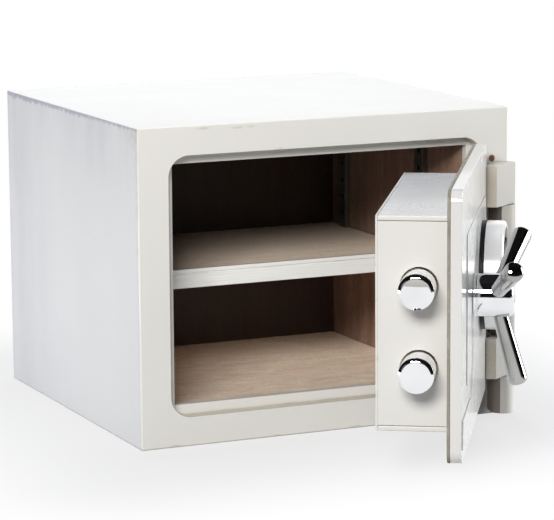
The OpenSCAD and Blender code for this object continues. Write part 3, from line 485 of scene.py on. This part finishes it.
blackLook = {"colour": (0.012, 0.012, 0.014), "shade": (0.022, 0.022, 0.025), "smears": 60, "clean": 0.28,
             "marked": 0.5, "grain": 1400, "edge": 0.0012, "chipSize": 300, "wear": 0.4,
             "worn": (0.07, 0.07, 0.075), "seam": 0.002, "dirt": 0.3, "dust": (0.03, 0.027, 0.024), "bump": 0.5,
             "gloss": 0.15, "metallic": 0}
silverLook = dict(blackLook, colour=(0.94, 0.94, 0.945), shade=(0.89, 0.895, 0.905), smears=35, clean=0.16,
                  marked=0.24, grain=1800, wear=0.5, worn=(0.86, 0.86, 0.85), dirt=0.45, dust=(0.16, 0.14, 0.12),
                  bump=0.1, gloss=0.5, metallic=0.24)
legendLook = dict(silverLook, colour=(0.85, 0.85, 0.84), metallic=0)
blackPlastic = plastic("blackPlastic", blackLook, **onDoor)
keyPlastic = plastic("keyPlastic", dict(blackLook, colour=(0.03, 0.03, 0.034), clean=0.34), **onDoor)
silverPlastic = plastic("silverPlastic", silverLook, **onDoor)
legendWhite = plastic("legendWhite", dict(legendLook, bump=0.05), **onDoor)
legendRed = plastic("legendRed", dict(legendLook, colour=(0.55, 0.03, 0.02), shade=(0.45, 0.02, 0.02)), **onDoor)
legendGreen = plastic("legendGreen", dict(legendLook, colour=(0.03, 0.36, 0.08), shade=(0.02, 0.28, 0.06)), **onDoor)
brownPlastic = plastic("brownPlastic", dict(blackLook, colour=(0.16, 0.085, 0.045), shade=(0.12, 0.06, 0.03),
                                            worn=(0.3, 0.2, 0.13)))


def sealStrip():  # swelling fire seal: soft, fibrous, uneven in tone
    material, tree, place = startMaterial("sealStrip", **onDoor)
    tone = noise(tree, stretch(tree, place, (60, 200, 60)), 1, 6, 0.7, 0.6)
    fleck = noise(tree, place, 420, 4, 0.7)
    colour = mix(tree, spread(tree, tone, 0.32, 0.68), (0.30, 0.275, 0.225), (0.17, 0.15, 0.12))
    colour = mix(tree, spread(tree, fleck, 0.55, 0.72, 0, 0.8), colour, (0.42, 0.39, 0.33))
    return finishMaterial(material, {"Base Color": colour, "Roughness": spread(tree, fleck, 0.3, 0.7, 0.62, 0.9)},
                          mathNode(tree, "ADD", tone, fleck), 0.8, 0.0006)


def castFill(name, **placing):  # porous mineral board
    material, tree, place = startMaterial(name, **placing)
    tone = noise(tree, place, 18, 6, 0.65)
    pits = addNode(tree, "TexVoronoi", {"Vector": place, "Scale": 420}, feature="F1")[0]
    hole = spread(tree, pits, 0, 0.22, 1, 0)
    colour = mix(tree, spread(tree, tone, 0.3, 0.7), (0.62, 0.60, 0.54), (0.46, 0.44, 0.39))
    return finishMaterial(material, {"Base Color": mix(tree, hole, colour, (0.25, 0.23, 0.2)),
                                     "Roughness": spread(tree, tone, 0.3, 0.7, 0.75, 0.95)},
                          mathNode(tree, "SUBTRACT", tone, hole), 0.6, 0.0004)


def circuitBoard():
    material, tree, place = startMaterial("circuitBoard", **onDoor)
    tracks = addNode(tree, "TexVoronoi", {"Vector": place, "Scale": 160}, feature="DISTANCE_TO_EDGE")[0]
    line = spread(tree, tracks, 0.04, 0.07, 1, 0)
    tone = noise(tree, place, 60)
    green = mix(tree, spread(tree, tone, 0.3, 0.7), (0.012, 0.11, 0.035), (0.02, 0.16, 0.05))
    return finishMaterial(material, {"Base Color": mix(tree, line, green, (0.09, 0.30, 0.09)),
                                     "Roughness": spread(tree, tone, 0.3, 0.7, 0.22, 0.36)}, line, 0.3, 0.00005)


sealMaterial = sealStrip()
cabinetFill = castFill("cabinetFill")
doorFill = castFill("doorFill", **onDoor)
boardMaterial = circuitBoard()
print("materials ready:", len(bpy.data.materials))


# Mesh helpers

cleanSet = {"weld": 2e-6, "flat": math.radians(0.4), "sharp": 30}  # for CAD shapes, which come as loose triangles


def newOf(made, kind):
    return [g for g in made["geom"] if isinstance(g, kind)]


def sink(bm, face, move=(0, 0, 0)):  # pushes a face in or out and leaves walls behind it
    made = bmesh.ops.extrude_face_region(bm, geom=[face])
    bmesh.ops.delete(bm, geom=[face], context="FACES_ONLY")
    pushed = newOf(made, bmesh.types.BMFace)[0]
    bmesh.ops.translate(bm, vec=move, verts=list(pushed.verts))
    return pushed


def setRect(face, left, right, bottom, top):  # moves a face's four corners in X and Z
    middle = face.calc_center_median()
    for v in face.verts:
        v.co.x = left if v.co.x < middle.x else right
        v.co.z = bottom if v.co.z < middle.z else top


def roundEdges(bm, edges, width, segments=3):
    if edges:
        bmesh.ops.bevel(bm, geom=list(edges), offset=width, offset_type="OFFSET", affect="EDGES",
                        segments=segments, profile=0.5, material=-1, clamp_overlap=True)


def sharpEdges(bm, angle):
    bm.normal_update()
    limit = math.radians(angle)
    return [e for e in bm.edges if e.is_manifold and e.calc_face_angle(0) > limit]


def roundWhere(bm, angle, picked, width, segments):  # rounds the sharp edges with both ends picked
    roundEdges(bm, [e for e in sharpEdges(bm, angle) if all(picked(v.co) for v in e.verts)], width, segments)


def joinInto(bm, part, place=None, material=None):
    if place is not None:
        bmesh.ops.transform(part, matrix=place, verts=part.verts)
    if material is not None:
        for face in part.faces:
            face.material_index = material
    mesh = bpy.data.meshes.new("part")
    part.to_mesh(mesh)
    part.free()
    bm.from_mesh(mesh)
    bpy.data.meshes.remove(mesh)


def turned(bm, outline, steps, place=None, rounding=0, segments=3):  # a lathe round local Z
    part = bmesh.new()
    points = [part.verts.new((r, 0, n)) for r, n in outline]
    lines = [part.edges.new(pair) for pair in zip(points, points[1:])]
    bmesh.ops.spin(part, geom=points + lines, cent=(0, 0, 0), axis=(0, 0, 1), angle=2 * math.pi, steps=steps,
                   use_merge=True)
    bmesh.ops.remove_doubles(part, verts=part.verts, dist=1e-6)
    bmesh.ops.recalc_face_normals(part, faces=part.faces)
    if rounding:
        roundEdges(part, sharpEdges(part, 25), rounding, segments)
    joinInto(bm, part, place)


def copyOf(node):  # a node's triangles, merged and cleaned of flat edges
    bm = bmesh.new()
    bm.from_mesh(nodes[node].data)
    for face in bm.faces:
        face.material_index = 0
    bmesh.ops.remove_doubles(bm, verts=bm.verts, dist=cleanSet["weld"])
    bmesh.ops.dissolve_limit(bm, angle_limit=cleanSet["flat"], verts=bm.verts, edges=bm.edges)
    return bm


def addMesh(name, bm, materials):
    mesh = bpy.data.meshes.new(name)
    bm.to_mesh(mesh)
    bm.free()
    for material in materials:
        mesh.materials.append(material)
    made = bpy.data.objects.new(name, mesh)
    scene.collection.objects.link(made)
    return made


def addPiece(name, bm, body, materials, stands=(), sharp=32):
    bmesh.ops.recalc_face_normals(bm, faces=bm.faces)
    piece = addMesh(name, bm, materials)
    piece.data.shade_smooth()
    piece.data.set_sharp_from_angle(angle=math.radians(sharp))
    even = piece.modifiers.new("evenNormals", "WEIGHTED_NORMAL")
    even.keep_sharp = True
    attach(piece, body)
    if stands:
        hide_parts(*stands)


def refine(node, material, rounding, segments=2, second=None, name=None):  # a rounded copy that stands for its node
    bm = copyOf(node)
    roundEdges(bm, sharpEdges(bm, cleanSet["sharp"]), rounding, segments)
    materials = [material]
    if second:  # another finish on the faces that look one way
        finish, way, limit = second
        materials.append(finish)
        bm.normal_update()
        for face in bm.faces:
            face.material_index = int(face.normal.dot(way) > limit)
    first, *rest = node.split("_")
    name = name or first + "".join(word.capitalize() for word in rest)
    addPiece(name, bm, bodyOf[node], materials, [node])


def dress(node, material, bevel=0):  # a CAD node keeps its shape
    piece = nodes[node]
    piece.material_slots[0].material = material
    if bevel:
        weld = piece.modifiers.new("weld", "WELD")
        weld.merge_threshold = cleanSet["weld"]
        flat = piece.modifiers.new("flat", "DECIMATE")
        flat.decimate_type = "DISSOLVE"
        flat.angle_limit = cleanSet["flat"]
        soft = piece.modifiers.new("soft", "BEVEL")
        soft.width = bevel
        soft.segments = 2
        soft.limit_method = "ANGLE"
        soft.angle_limit = math.radians(cleanSet["sharp"])


# Cabinet body: welded steel, sprayed in two tones

bodySet = {
    "left": -0.1765, "right": 0.179, "bottom": 0.0305, "top": 0.2995, "cornerRound": 0.022,
    "edgeRound": 0.0018, "rimRound": 0.0009, "wall": 0.003, "seam": 0.0005,
}


def makeCabinetBody():
    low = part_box("front_frame")[0]
    high = Vector((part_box("front_frame")[1].x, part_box("back_plate")[1].y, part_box("front_frame")[1].z))
    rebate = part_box("front_frame")[1].y - low.y
    wall, seam = bodySet["wall"], bodySet["seam"]
    bm = bmesh.new()
    bmesh.ops.create_cube(bm, size=1)
    bmesh.ops.scale(bm, vec=high - low, verts=bm.verts)
    bmesh.ops.translate(bm, vec=(low + high) / 2, verts=bm.verts)
    outer = list(bm.edges)
    front = min(bm.faces, key=lambda f: f.calc_center_median().y)
    rear = max(bm.faces, key=lambda f: f.calc_center_median().y)
    bmesh.ops.inset_region(bm, faces=[front], thickness=0.02)  # setRect then gives the opening its real size
    setRect(front, *[bodySet[k] for k in ("left", "right", "bottom", "top")])
    floor = sink(bm, front, (0, rebate, 0))
    bm.normal_update()
    corners = [e for v in floor.verts for e in v.link_edges if abs((e.verts[0].co - e.verts[1].co).y) > rebate / 2]
    hollow = sink(bm, floor)
    setRect(hollow, low.x + wall, high.x - wall, low.z + wall, high.z - wall)
    sink(bm, hollow, (0, high.y - wall - low.y - rebate, 0))
    # a fine seam where the back plate sits between the sides
    bmesh.ops.inset_region(bm, faces=[rear], thickness=wall)
    groove = bmesh.ops.inset_region(bm, faces=[rear], thickness=seam, depth=0)["faces"]
    made = bmesh.ops.extrude_face_region(bm, geom=groove)
    bmesh.ops.delete(bm, geom=groove, context="FACES_ONLY")
    bmesh.ops.translate(bm, vec=(0, -seam, 0), verts=newOf(made, bmesh.types.BMVert))
    roundEdges(bm, corners, bodySet["cornerRound"], 12)
    clear = 0.01  # keeps the outer edges out of what is picked
    roundWhere(bm, 40, lambda co: abs(co.y - low.y) < 1e-5 and low.x + clear < co.x < high.x - clear,
               bodySet["rimRound"], 2)
    roundEdges(bm, [e for e in outer if e.is_valid], bodySet["edgeRound"], 3)
    near = 0.001  # how close to an outer plane a face's middle lies
    for face in bm.faces:
        middle, normal = face.calc_center_median(), face.normal
        side = abs(normal.x) > 0.9 and not low.x + near < middle.x < high.x - near
        rest = (normal.y > 0.9 and middle.y > high.y - near) or (normal.z < -0.9 and middle.z < near)
        # the rebate's walls get the third paint, which is painted shade
        reveal = (abs(normal.y) < 0.3 and low.y + 0.0012 < middle.y < low.y + rebate
                  and abs(middle.x) < high.x - clear and clear < middle.z < high.z - clear)
        face.material_index = 2 if reveal else 1 if side or rest else 0
    addPiece("cabinetBody", bm, "cabinet", [whitePaint, sidePaint, rebatePaint],
             ["front_frame", "top_plate", "bottom_plate", "left_side", "right_side", "back_plate"])


makeCabinetBody()
refine("inner_frame", whitePaint, 0.0008, name="stopFrame")
dress("insulation_fill", cabinetFill)
dress("strike_bar", steel, 0.0005)
print("cabinet body ready")


# Hinge

hingeSet = {"knuckleRound": 0.0016, "armRound": 0.0009}
towardDoor = Vector((-1, 0, 0))  # the knuckle faces that look toward the door, painted dark as shade of the gap beside the door
alongPlate = swing.to_3x3() @ Vector((-1, 0, 0))  # an arm's wall, which stands on the door's plate, mottled brown as painted reflection and shade

refine("lower_knuckle", lowKnucklePaint, hingeSet["knuckleRound"], 3, (lowFootPaint, towardDoor, 0.6))
refine("middle_knuckle", knucklePaint, hingeSet["knuckleRound"], 3, (footPaint, towardDoor, 0.6))
refine("upper_arm", armPaint, hingeSet["armRound"], 3, (stainedPaint, alongPlate, 0.98))
refine("lower_arm", armPaint, hingeSet["armRound"], 3, (stainedPaint, alongPlate, 0.98))
dress("hinge_pins", steel)

capSet = {"wall": 0.55, "shoulder": (0.8, 0.9), "rounding": 0.00012}  # shares of the cap's radius and height


def makeFrameCap():
    low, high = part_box("frame_cap")
    radius = (high.x - low.x) / 2
    tall = high.y - low.y
    inward, up = capSet["shoulder"]
    place = (Matrix.Translation(((low.x + high.x) / 2, high.y, (low.z + high.z) / 2))
             @ Matrix.Rotation(math.pi / 2, 4, "X"))
    bm = bmesh.new()
    turned(bm, [(0, 0), (radius, 0), (radius, tall * capSet["wall"]), (radius * inward, tall * up), (0, tall)],
           40, place, capSet["rounding"], 2)
    addPiece("frameCap", bm, "cabinet", [brownPlastic], ["frame_cap"])


makeFrameCap()
print("hinge ready")


# Wood-lined inside

insideSet = {"wood_floor": floorWood, "wood_ceiling": ceilingWood, "wood_left": sideWood, "wood_right": sideWood,
             "wood_back": backWood}
for node, material in insideSet.items():
    dress(node, material, 0.0004)
dress("shelf_board", shelfWood, 0.0005)
refine("shelf_trim", trimMetal, 0.00035)
refine("slotted_strips", stripMetal, 0.0003)
refine("shelf_pins", steel, 0.0004)
print("inside ready")


# Door

doorSet = {"plateRound": 0.0013, "boxRound": 0.0012, "panelRound": 0.0005, "badgeRound": 0.0004, "holeRound": 0.0005,
           "coverRound": 0.0009, "sealRound": 0.0006}
outward = swing.to_3x3() @ Vector((0, -1, 0))  # the outer face gets a lighter copy of the door paint, with its own gloss coat, as painted light

refine("door_plate", doorPaint, doorSet["plateRound"], 3, (facePaint, outward, 0.9))
refine("raised_panel", doorPaint, doorSet["panelRound"], 2, (facePaint, outward, 0.9))
refine("badge_plate", doorPaint, doorSet["badgeRound"], 2, (facePaint, outward, 0.9))
refine("door_seal", sealMaterial, doorSet["sealRound"])
refine("door_pan", plugPaint, doorSet["boxRound"], 3, (plugTopPaint, Vector((0, 0, 1)), 0.9))
refine("bolt_plate", plugPaint, doorSet["holeRound"])
refine("inner_cover", plugPaint, doorSet["coverRound"], 3)
dress("bolt_bushes", bronze)
dress("front_board", doorFill)
dress("rear_board", doorFill)
for node in ("carrier_guides", "lock_case", "spindle", "pinion", "bolt_carrier", "lock_bolt"):
    dress(node, doorSteel)
print("door ready")


# Domed screws that hold the inner cover

screwSet = {"head": 0.004, "rim": 0.0005, "crown": 0.55, "dome": 0.0014, "shank": 0.002, "long": 0.014,
            "seat": 0.0001, "rounding": 0.00025, "twist": 2500}


def makeCoverScrews():
    low, high = closedBox("cover_screws")
    coverLow, coverHigh = closedBox("inner_cover")
    s = screwSet
    head, shank, seat = s["head"], s["shank"], s["seat"]
    outline = [(0, -s["long"]), (shank, -s["long"]), (shank, seat), (head, seat), (head, s["rim"]),
               (head * s["crown"], s["dome"]), (0, s["dome"])]
    bm = bmesh.new()
    for x in (low.x + head, (coverLow.x + coverHigh.x) / 2, high.x - head):
        for z in (low.z + head, high.z - head):
            place = swing @ Matrix.Translation((x, coverHigh.y, z)) @ Matrix.Rotation(-math.pi / 2, 4, "X")
            twist = Matrix.Rotation(math.radians(s["twist"] * (x + z)), 4, "Z")
            turned(bm, outline, 40, place @ twist, s["rounding"], 2)
    addPiece("coverScrews", bm, "door", [doorSteel], ["cover_screws"])


makeCoverScrews()


# Locking bolts: chromed, with a turned chamfer

boltSet = {"noseRound": 0.0007, "chamfer": 0.003, "dome": 0.0003, "domeSteps": 8}


def makeBolts():
    low, high = closedBox("locking_bolts")
    radius = (high.y - low.y) / 2
    length = high.x - low.x
    chamfer, steps = boltSet["chamfer"], boltSet["domeSteps"]
    nose = [((radius - chamfer) * k / steps, boltSet["dome"] * (k / steps) ** 2) for k in range(steps + 1)]
    bm = bmesh.new()
    for z in (low.z + radius, high.z - radius):
        place = swing @ Matrix.Translation((low.x, (low.y + high.y) / 2, z)) @ Matrix.Rotation(math.pi / 2, 4, "Y")
        turned(bm, nose + [(radius, chamfer), (radius, length), (0, length)], 128, place, boltSet["noseRound"], 3)
    addPiece("lockingBolts", bm, "boltwork", [chrome], ["locking_bolts"], 40)


makeBolts()
print("bolts and screws ready")


# Three-spoke handle

handleSet = {
    "bore": 0.0086, "hubRadius": 0.02125, "hubBase": 0.0013, "hubTop": 0.041, "hubRound": 0.006, "grooveAt": 0.0045,
    "grooveWide": 0.0011, "grooveDeep": 0.0006, "grooveRound": 0.0002, "capRadius": 0.0062, "ringWide": 0.0012,
    "ringDeep": 0.0008, "capDown": 0.0002, "capRound": 0.00015, "crownDown": 0.00002, "crown": 0.6,
    "meet": 0.0217, "rise": 14.7, "phase": 25.3, "spokeFrom": 0.0155, "reach": 0.0815, "rootRadius": 0.0075,
    "ballRadius": 0.0098, "endDome": 0.0058, "domeSteps": 12,
}


def makeHandle():
    at = swing.inverted() @ Vector(joints["handle_turn"]["pos_m"])
    face = onFace(at.x, at.z)
    s = handleSet
    bore, r, base, top = s["bore"], s["hubRadius"], s["hubBase"], s["hubTop"]
    g, w, d = s["grooveAt"], s["grooveWide"], s["grooveDeep"]
    hub = bmesh.new()
    turned(hub, [(bore, base), (r, base), (r, g), (r - d, g), (r - d, g + w), (r, g + w), (r, top), (bore, top)], 128)
    near = 1e-4
    roundWhere(hub, 30, lambda co: abs(co.z - top) < 1e-6 and co.xy.length > r - near, s["hubRound"], 10)
    roundWhere(hub, 40, lambda co: co.z < g + w + near and co.xy.length > r - d - near, s["grooveRound"], 2)
    bmesh.ops.transform(hub, matrix=face, verts=hub.verts)
    # a domed cap with a shallow ring round it fills the hub's end
    cap, ring, crown = s["capRadius"], s["capRadius"] + s["ringWide"], top - s["crownDown"]
    turned(hub, [(bore, base), (bore, top), (ring, top), (ring, top - s["ringDeep"]), (cap, top - s["ringDeep"]),
                 (cap, top - s["capDown"]), (cap * s["crown"], crown), (0, crown)], 64, face, s["capRound"], 2)
    bmesh.ops.remove_doubles(hub, verts=hub.verts, dist=2e-6)
    addPiece("handleHub", hub, "handle", [chrome], ["handle_hub"], 40)

    spokes = bmesh.new()
    ball = s["ballRadius"]
    reach = s["reach"] / math.cos(math.radians(s["rise"]))
    quarter = [math.pi / 2 * k / s["domeSteps"] for k in range(s["domeSteps"], -1, -1)]
    dome = [(ball * math.sin(a), reach + ball - s["endDome"] * (1 - math.cos(a))) for a in quarter]
    for k in range(3):
        place = (face @ Matrix.Translation((0, 0, s["meet"]))
                 @ Matrix.Rotation(math.radians(180 - s["phase"] - 120 * k), 4, "Z")
                 @ Matrix.Rotation(math.radians(90 - s["rise"]), 4, "Y"))
        turned(spokes, [(0, s["spokeFrom"]), (s["rootRadius"], s["spokeFrom"]), (ball, reach)] + dome, 96, place)
    addPiece("handleSpokes", spokes, "handle", [spokeChrome], ["handle_spokes"], 50)


makeHandle()
print("handle ready")


# Round keypad lock

lockSet = {
    "bore": 0.0062, "radius": 0.056, "baseFrom": 0.001, "baseTo": 0.0058, "baseStep": 0.0012, "baseLip": 0.006,
    "baseThick": 0.0025, "baseRound": 0.0003, "top": 0.025, "rimRound": 0.0035, "wall": 0.0035, "rim": 0.0025,
    "ledge": 0.0004, "faceAt": 0.023, "faceThick": 0.002, "faceGap": 0.0002, "holeRound": 0.00015,
    "lensAt": 0.0432, "lensRadius": 0.0017, "lensRound": 0.0003,
}
keySet = {
    "radius": 0.0073, "gap": 0.0003, "columns": 0.020, "rows": 0.019, "top": 0.0248, "stem": 0.002,
    "stemFrom": 0.0149, "flange": 0.0012, "flangeWide": 0.0013, "dish": 0.0004, "dishRim": 0.0016, "round": 0.0004,
    "legend": 0.0078, "legendThick": 0.0001, "dot": 0.0021, "raised": 0.00012,
}
keyNames = ["key_" + sign for sign in ("1", "2", "3", "4", "5", "6", "7", "8", "9", "clear", "0", "enter")]


def lockFace():
    low, high = closedBox("keypad_base")
    return onFace((low.x + high.x) / 2, (low.z + high.z) / 2)


def keySpot(i):
    return Vector(((i % 3 - 1) * keySet["columns"], (1.5 - i // 3) * keySet["rows"]))


def makeLock():
    s = lockSet
    face = lockFace()
    r, step, bottom, top, plate = s["radius"], s["baseStep"], s["baseFrom"], s["baseTo"], s["faceAt"]
    floor = bottom + s["baseThick"]
    base = bmesh.new()
    turned(base, [(s["bore"], bottom), (r, bottom), (r, top - step), (r - step, top - step), (r - step, top),
                  (r - s["baseLip"], top), (r - s["baseLip"], floor), (s["bore"], floor), (s["bore"], bottom)],
           128, face, s["baseRound"], 2)
    addPiece("keypadBase", base, "door", [blackPlastic], ["keypad_base"])

    drum = bmesh.new()
    inner = r - s["wall"]
    lip = inner - s["rim"]
    under, above = plate - s["faceThick"], plate + 0.0001
    turned(drum, [(inner, top), (r, top), (r, s["top"]), (lip, s["top"]), (lip, above), (lip - s["ledge"], above),
                  (lip - s["ledge"], under), (inner, under), (inner, top)], 128)
    near = 1e-4
    roundWhere(drum, 40, lambda co: abs(co.z - s["top"]) < 1e-6 and co.xy.length > r - near, s["rimRound"], 6)
    roundWhere(drum, 60, lambda co: co.xy.length > r - near or co.z > plate, s["baseRound"], 2)
    bmesh.ops.transform(drum, matrix=face, verts=drum.verts)
    addPiece("keypadHousing", drum, "door", [silverPlastic], ["keypad_housing"])

    # face plate with round key holes
    sheet = bmesh.new()
    bmesh.ops.create_circle(sheet, cap_ends=False, radius=lip - s["faceGap"], segments=96)
    spots = [keySpot(i) for i in range(len(keyNames))]
    for spot in spots:
        bmesh.ops.create_circle(sheet, cap_ends=False, radius=keySet["radius"] + keySet["gap"], segments=40,
                                matrix=Matrix.Translation((*spot, 0)))
    bmesh.ops.triangle_fill(sheet, use_beauty=True, use_dissolve=False, edges=sheet.edges, normal=(0, 0, 1))
    lone = [f for f in sheet.faces
            if any((f.calc_center_median().xy - spot).length < keySet["radius"] * 0.9 for spot in spots)]
    bmesh.ops.delete(sheet, geom=lone, context="FACES")
    made = bmesh.ops.extrude_face_region(sheet, geom=list(sheet.faces))
    bmesh.ops.translate(sheet, vec=(0, 0, -s["faceThick"]), verts=newOf(made, bmesh.types.BMVert))
    bmesh.ops.recalc_face_normals(sheet, faces=sheet.faces)
    roundWhere(sheet, 60, lambda co: abs(co.z) < 1e-6, s["holeRound"], 1)
    bmesh.ops.transform(sheet, matrix=face @ Matrix.Translation((0, 0, plate)), verts=sheet.verts)
    addPiece("keypadFace", sheet, "door", [blackPlastic])

    lens = bmesh.new()
    turned(lens, [(0, -0.0008), (s["lensRadius"], -0.0008), (s["lensRadius"], 0.0002), (s["lensRadius"] * 0.7, 0.0009),
                  (0, 0.0011)], 32, face @ Matrix.Translation((0, s["lensAt"], plate)), s["lensRound"], 3)
    addPiece("signalLens", lens, "door", [legendGreen])


def makeDigit(text):
    curve = bpy.data.curves.new("legend", "FONT")
    curve.body = text
    curve.size = keySet["legend"]
    curve.align_x = curve.align_y = "CENTER"
    curve.extrude = keySet["legendThick"] / 2
    curve.resolution_u = 4
    holder = bpy.data.objects.new("legend", curve)
    scene.collection.objects.link(holder)
    mesh = bpy.data.meshes.new_from_object(holder.evaluated_get(bpy.context.evaluated_depsgraph_get()))
    bpy.data.objects.remove(holder)
    bpy.data.curves.remove(curve)
    mark = bmesh.new()
    mark.from_mesh(mesh)
    bpy.data.meshes.remove(mesh)
    bmesh.ops.remove_doubles(mark, verts=mark.verts, dist=1e-7)
    return mark


def makeKeys():
    s = keySet
    face = lockFace()
    r, stem, wide, top, dish = s["radius"], s["stem"], s["radius"] + s["flangeWide"], s["top"], s["top"] - s["dish"]
    low = lockSet["faceAt"] - lockSet["faceThick"] - s["gap"] - s["flange"]
    outline = [(0, s["stemFrom"]), (stem, s["stemFrom"]), (stem, low), (wide, low), (wide, low + s["flange"]),
               (r, low + s["flange"]), (r, top), (r - s["dishRim"], top), (0, dish)]
    for i, name in enumerate(keyNames):
        bm = bmesh.new()
        turned(bm, outline, 56, None, s["round"], 3)
        sign = name.split("_")[1]
        materials = [keyPlastic, legendWhite]
        if sign.isdigit():
            mark = makeDigit(sign)
        else:  # a plain dot, red to clear and green to enter
            mark = bmesh.new()
            bmesh.ops.create_cone(mark, cap_ends=True, segments=32, radius1=s["dot"], radius2=s["dot"],
                                  depth=s["legendThick"])
            materials.append(legendRed if sign == "clear" else legendGreen)
        joinInto(bm, mark, Matrix.Translation((0, 0, dish + s["raised"])), len(materials) - 1)
        bmesh.ops.transform(bm, matrix=face @ Matrix.Translation((*keySpot(i), 0)), verts=bm.verts)
        addPiece("keypad" + sign.capitalize(), bm, name, materials, [name])


makeLock()
makeKeys()
dress("keypad_board", boardMaterial)
print("lock ready")


# Floor, backdrop and surroundings

stageSet = {
    "floorSize": 24.0, "floorColour": (0.42, 0.42, 0.42), "shadowHalf": (0.26, 0.30), "shadowFade": 0.22,
    "whiteNear": 0.72, "ambient": 0.115, "ambientColour": (0.93, 0.96, 1.0),
}


def seenWhite(tree):  # camera rays and rays that mirror or pass through meet white
    path = addNode(tree, "LightPath")
    seen = mathNode(tree, "MAXIMUM", path["Is Camera Ray"], path["Is Glossy Ray"])
    return mathNode(tree, "MAXIMUM", seen, path["Is Transmission Ray"])


def makeStage():
    s = stageSet
    bm = bmesh.new()
    bmesh.ops.create_grid(bm, x_segments=1, y_segments=1, size=s["floorSize"] / 2)
    material = newMaterial("floorPaper", {"Base Color": s["floorColour"], "Roughness": 0.9, "Specular IOR Level": 0.1})
    addMesh("floor", bm, [material])
    # the paper burns out to white away from the object and keeps its shadow near it
    tree = material.node_tree
    size = vectorNode(tree, "ABSOLUTE", addNode(tree, "TexCoord")["Object"])
    past = vectorNode(tree, "MAXIMUM", vectorNode(tree, "SUBTRACT", size, (*s["shadowHalf"], 0)), (0, 0, 0))
    burn = spread(tree, vectorNode(tree, "LENGTH", past), 0, s["shadowFade"], s["whiteNear"], 1, "SMOOTHSTEP")
    white = addNode(tree, "Emission", {"Color": (1, 1, 1), "Strength": 1})[0]
    mixed = addNode(tree, "MixShader", {
        0: times(tree, seenWhite(tree), burn), 1: tree.nodes["Principled BSDF"].outputs[0], 2: white})
    feed(tree, tree.nodes["Material Output"], {"Surface": mixed[0]})

    world = bpy.data.worlds.new("studio")
    world.use_nodes = True
    scene.world = world
    tree = world.node_tree
    tree.nodes.clear()
    soft, white = [addNode(tree, "Background", {"Color": colour, "Strength": strength})[0]
                   for colour, strength in ((s["ambientColour"], s["ambient"]), ((1, 1, 1), 1))]
    mixed = addNode(tree, "MixShader", {0: seenWhite(tree), 1: soft, 2: white})
    addNode(tree, "OutputWorld", {"Surface": mixed[0]})


flagSet = {
    "from": -150, "to": 125, "steps": 32, "profile": [(1.85, 0.004), (4.6, 0.004), (4.6, 3.4), (0, 4.4)],
    "ceiling": 8, "cloth": (0.01, 0.01, 0.012), "floor": (0.26, 0.245, 0.23),
}


def makeFlag():  # the dark room round the paper, seen only in reflections
    s = flagSet
    bm = bmesh.new()
    start = math.radians(s["from"])
    way = Vector((math.sin(start), -math.cos(start), 0))
    ends = [bm.verts.new(way * far + Vector((0, 0, z))) for far, z in s["profile"]]
    edges = [bm.edges.new(pair) for pair in zip(ends, ends[1:])]
    bmesh.ops.spin(bm, geom=ends + edges, cent=(0, 0, 0), axis=(0, 0, 1), angle=math.radians(s["to"] - s["from"]),
                   steps=s["steps"])
    bmesh.ops.create_circle(bm, cap_ends=True, radius=s["ceiling"], segments=48,
                            matrix=Matrix.Translation((0, 0, s["profile"][-1][1])))
    for face in bm.faces:
        face.material_index = int(face.calc_center_median().z < 0.01)
    flag = addMesh("flag", bm, [newMaterial(name, {"Base Color": colour, "Roughness": 1})
                                for name, colour in (("flagCloth", s["cloth"]), ("roomFloor", s["floor"]))])
    flag.visible_camera = flag.visible_diffuse = flag.visible_shadow = False


addCamera()
addLamps()
makeStage()
makeFlag()
scene.view_settings.view_transform = "Standard"
print("stage ready")

bpy.context.view_layer.update()
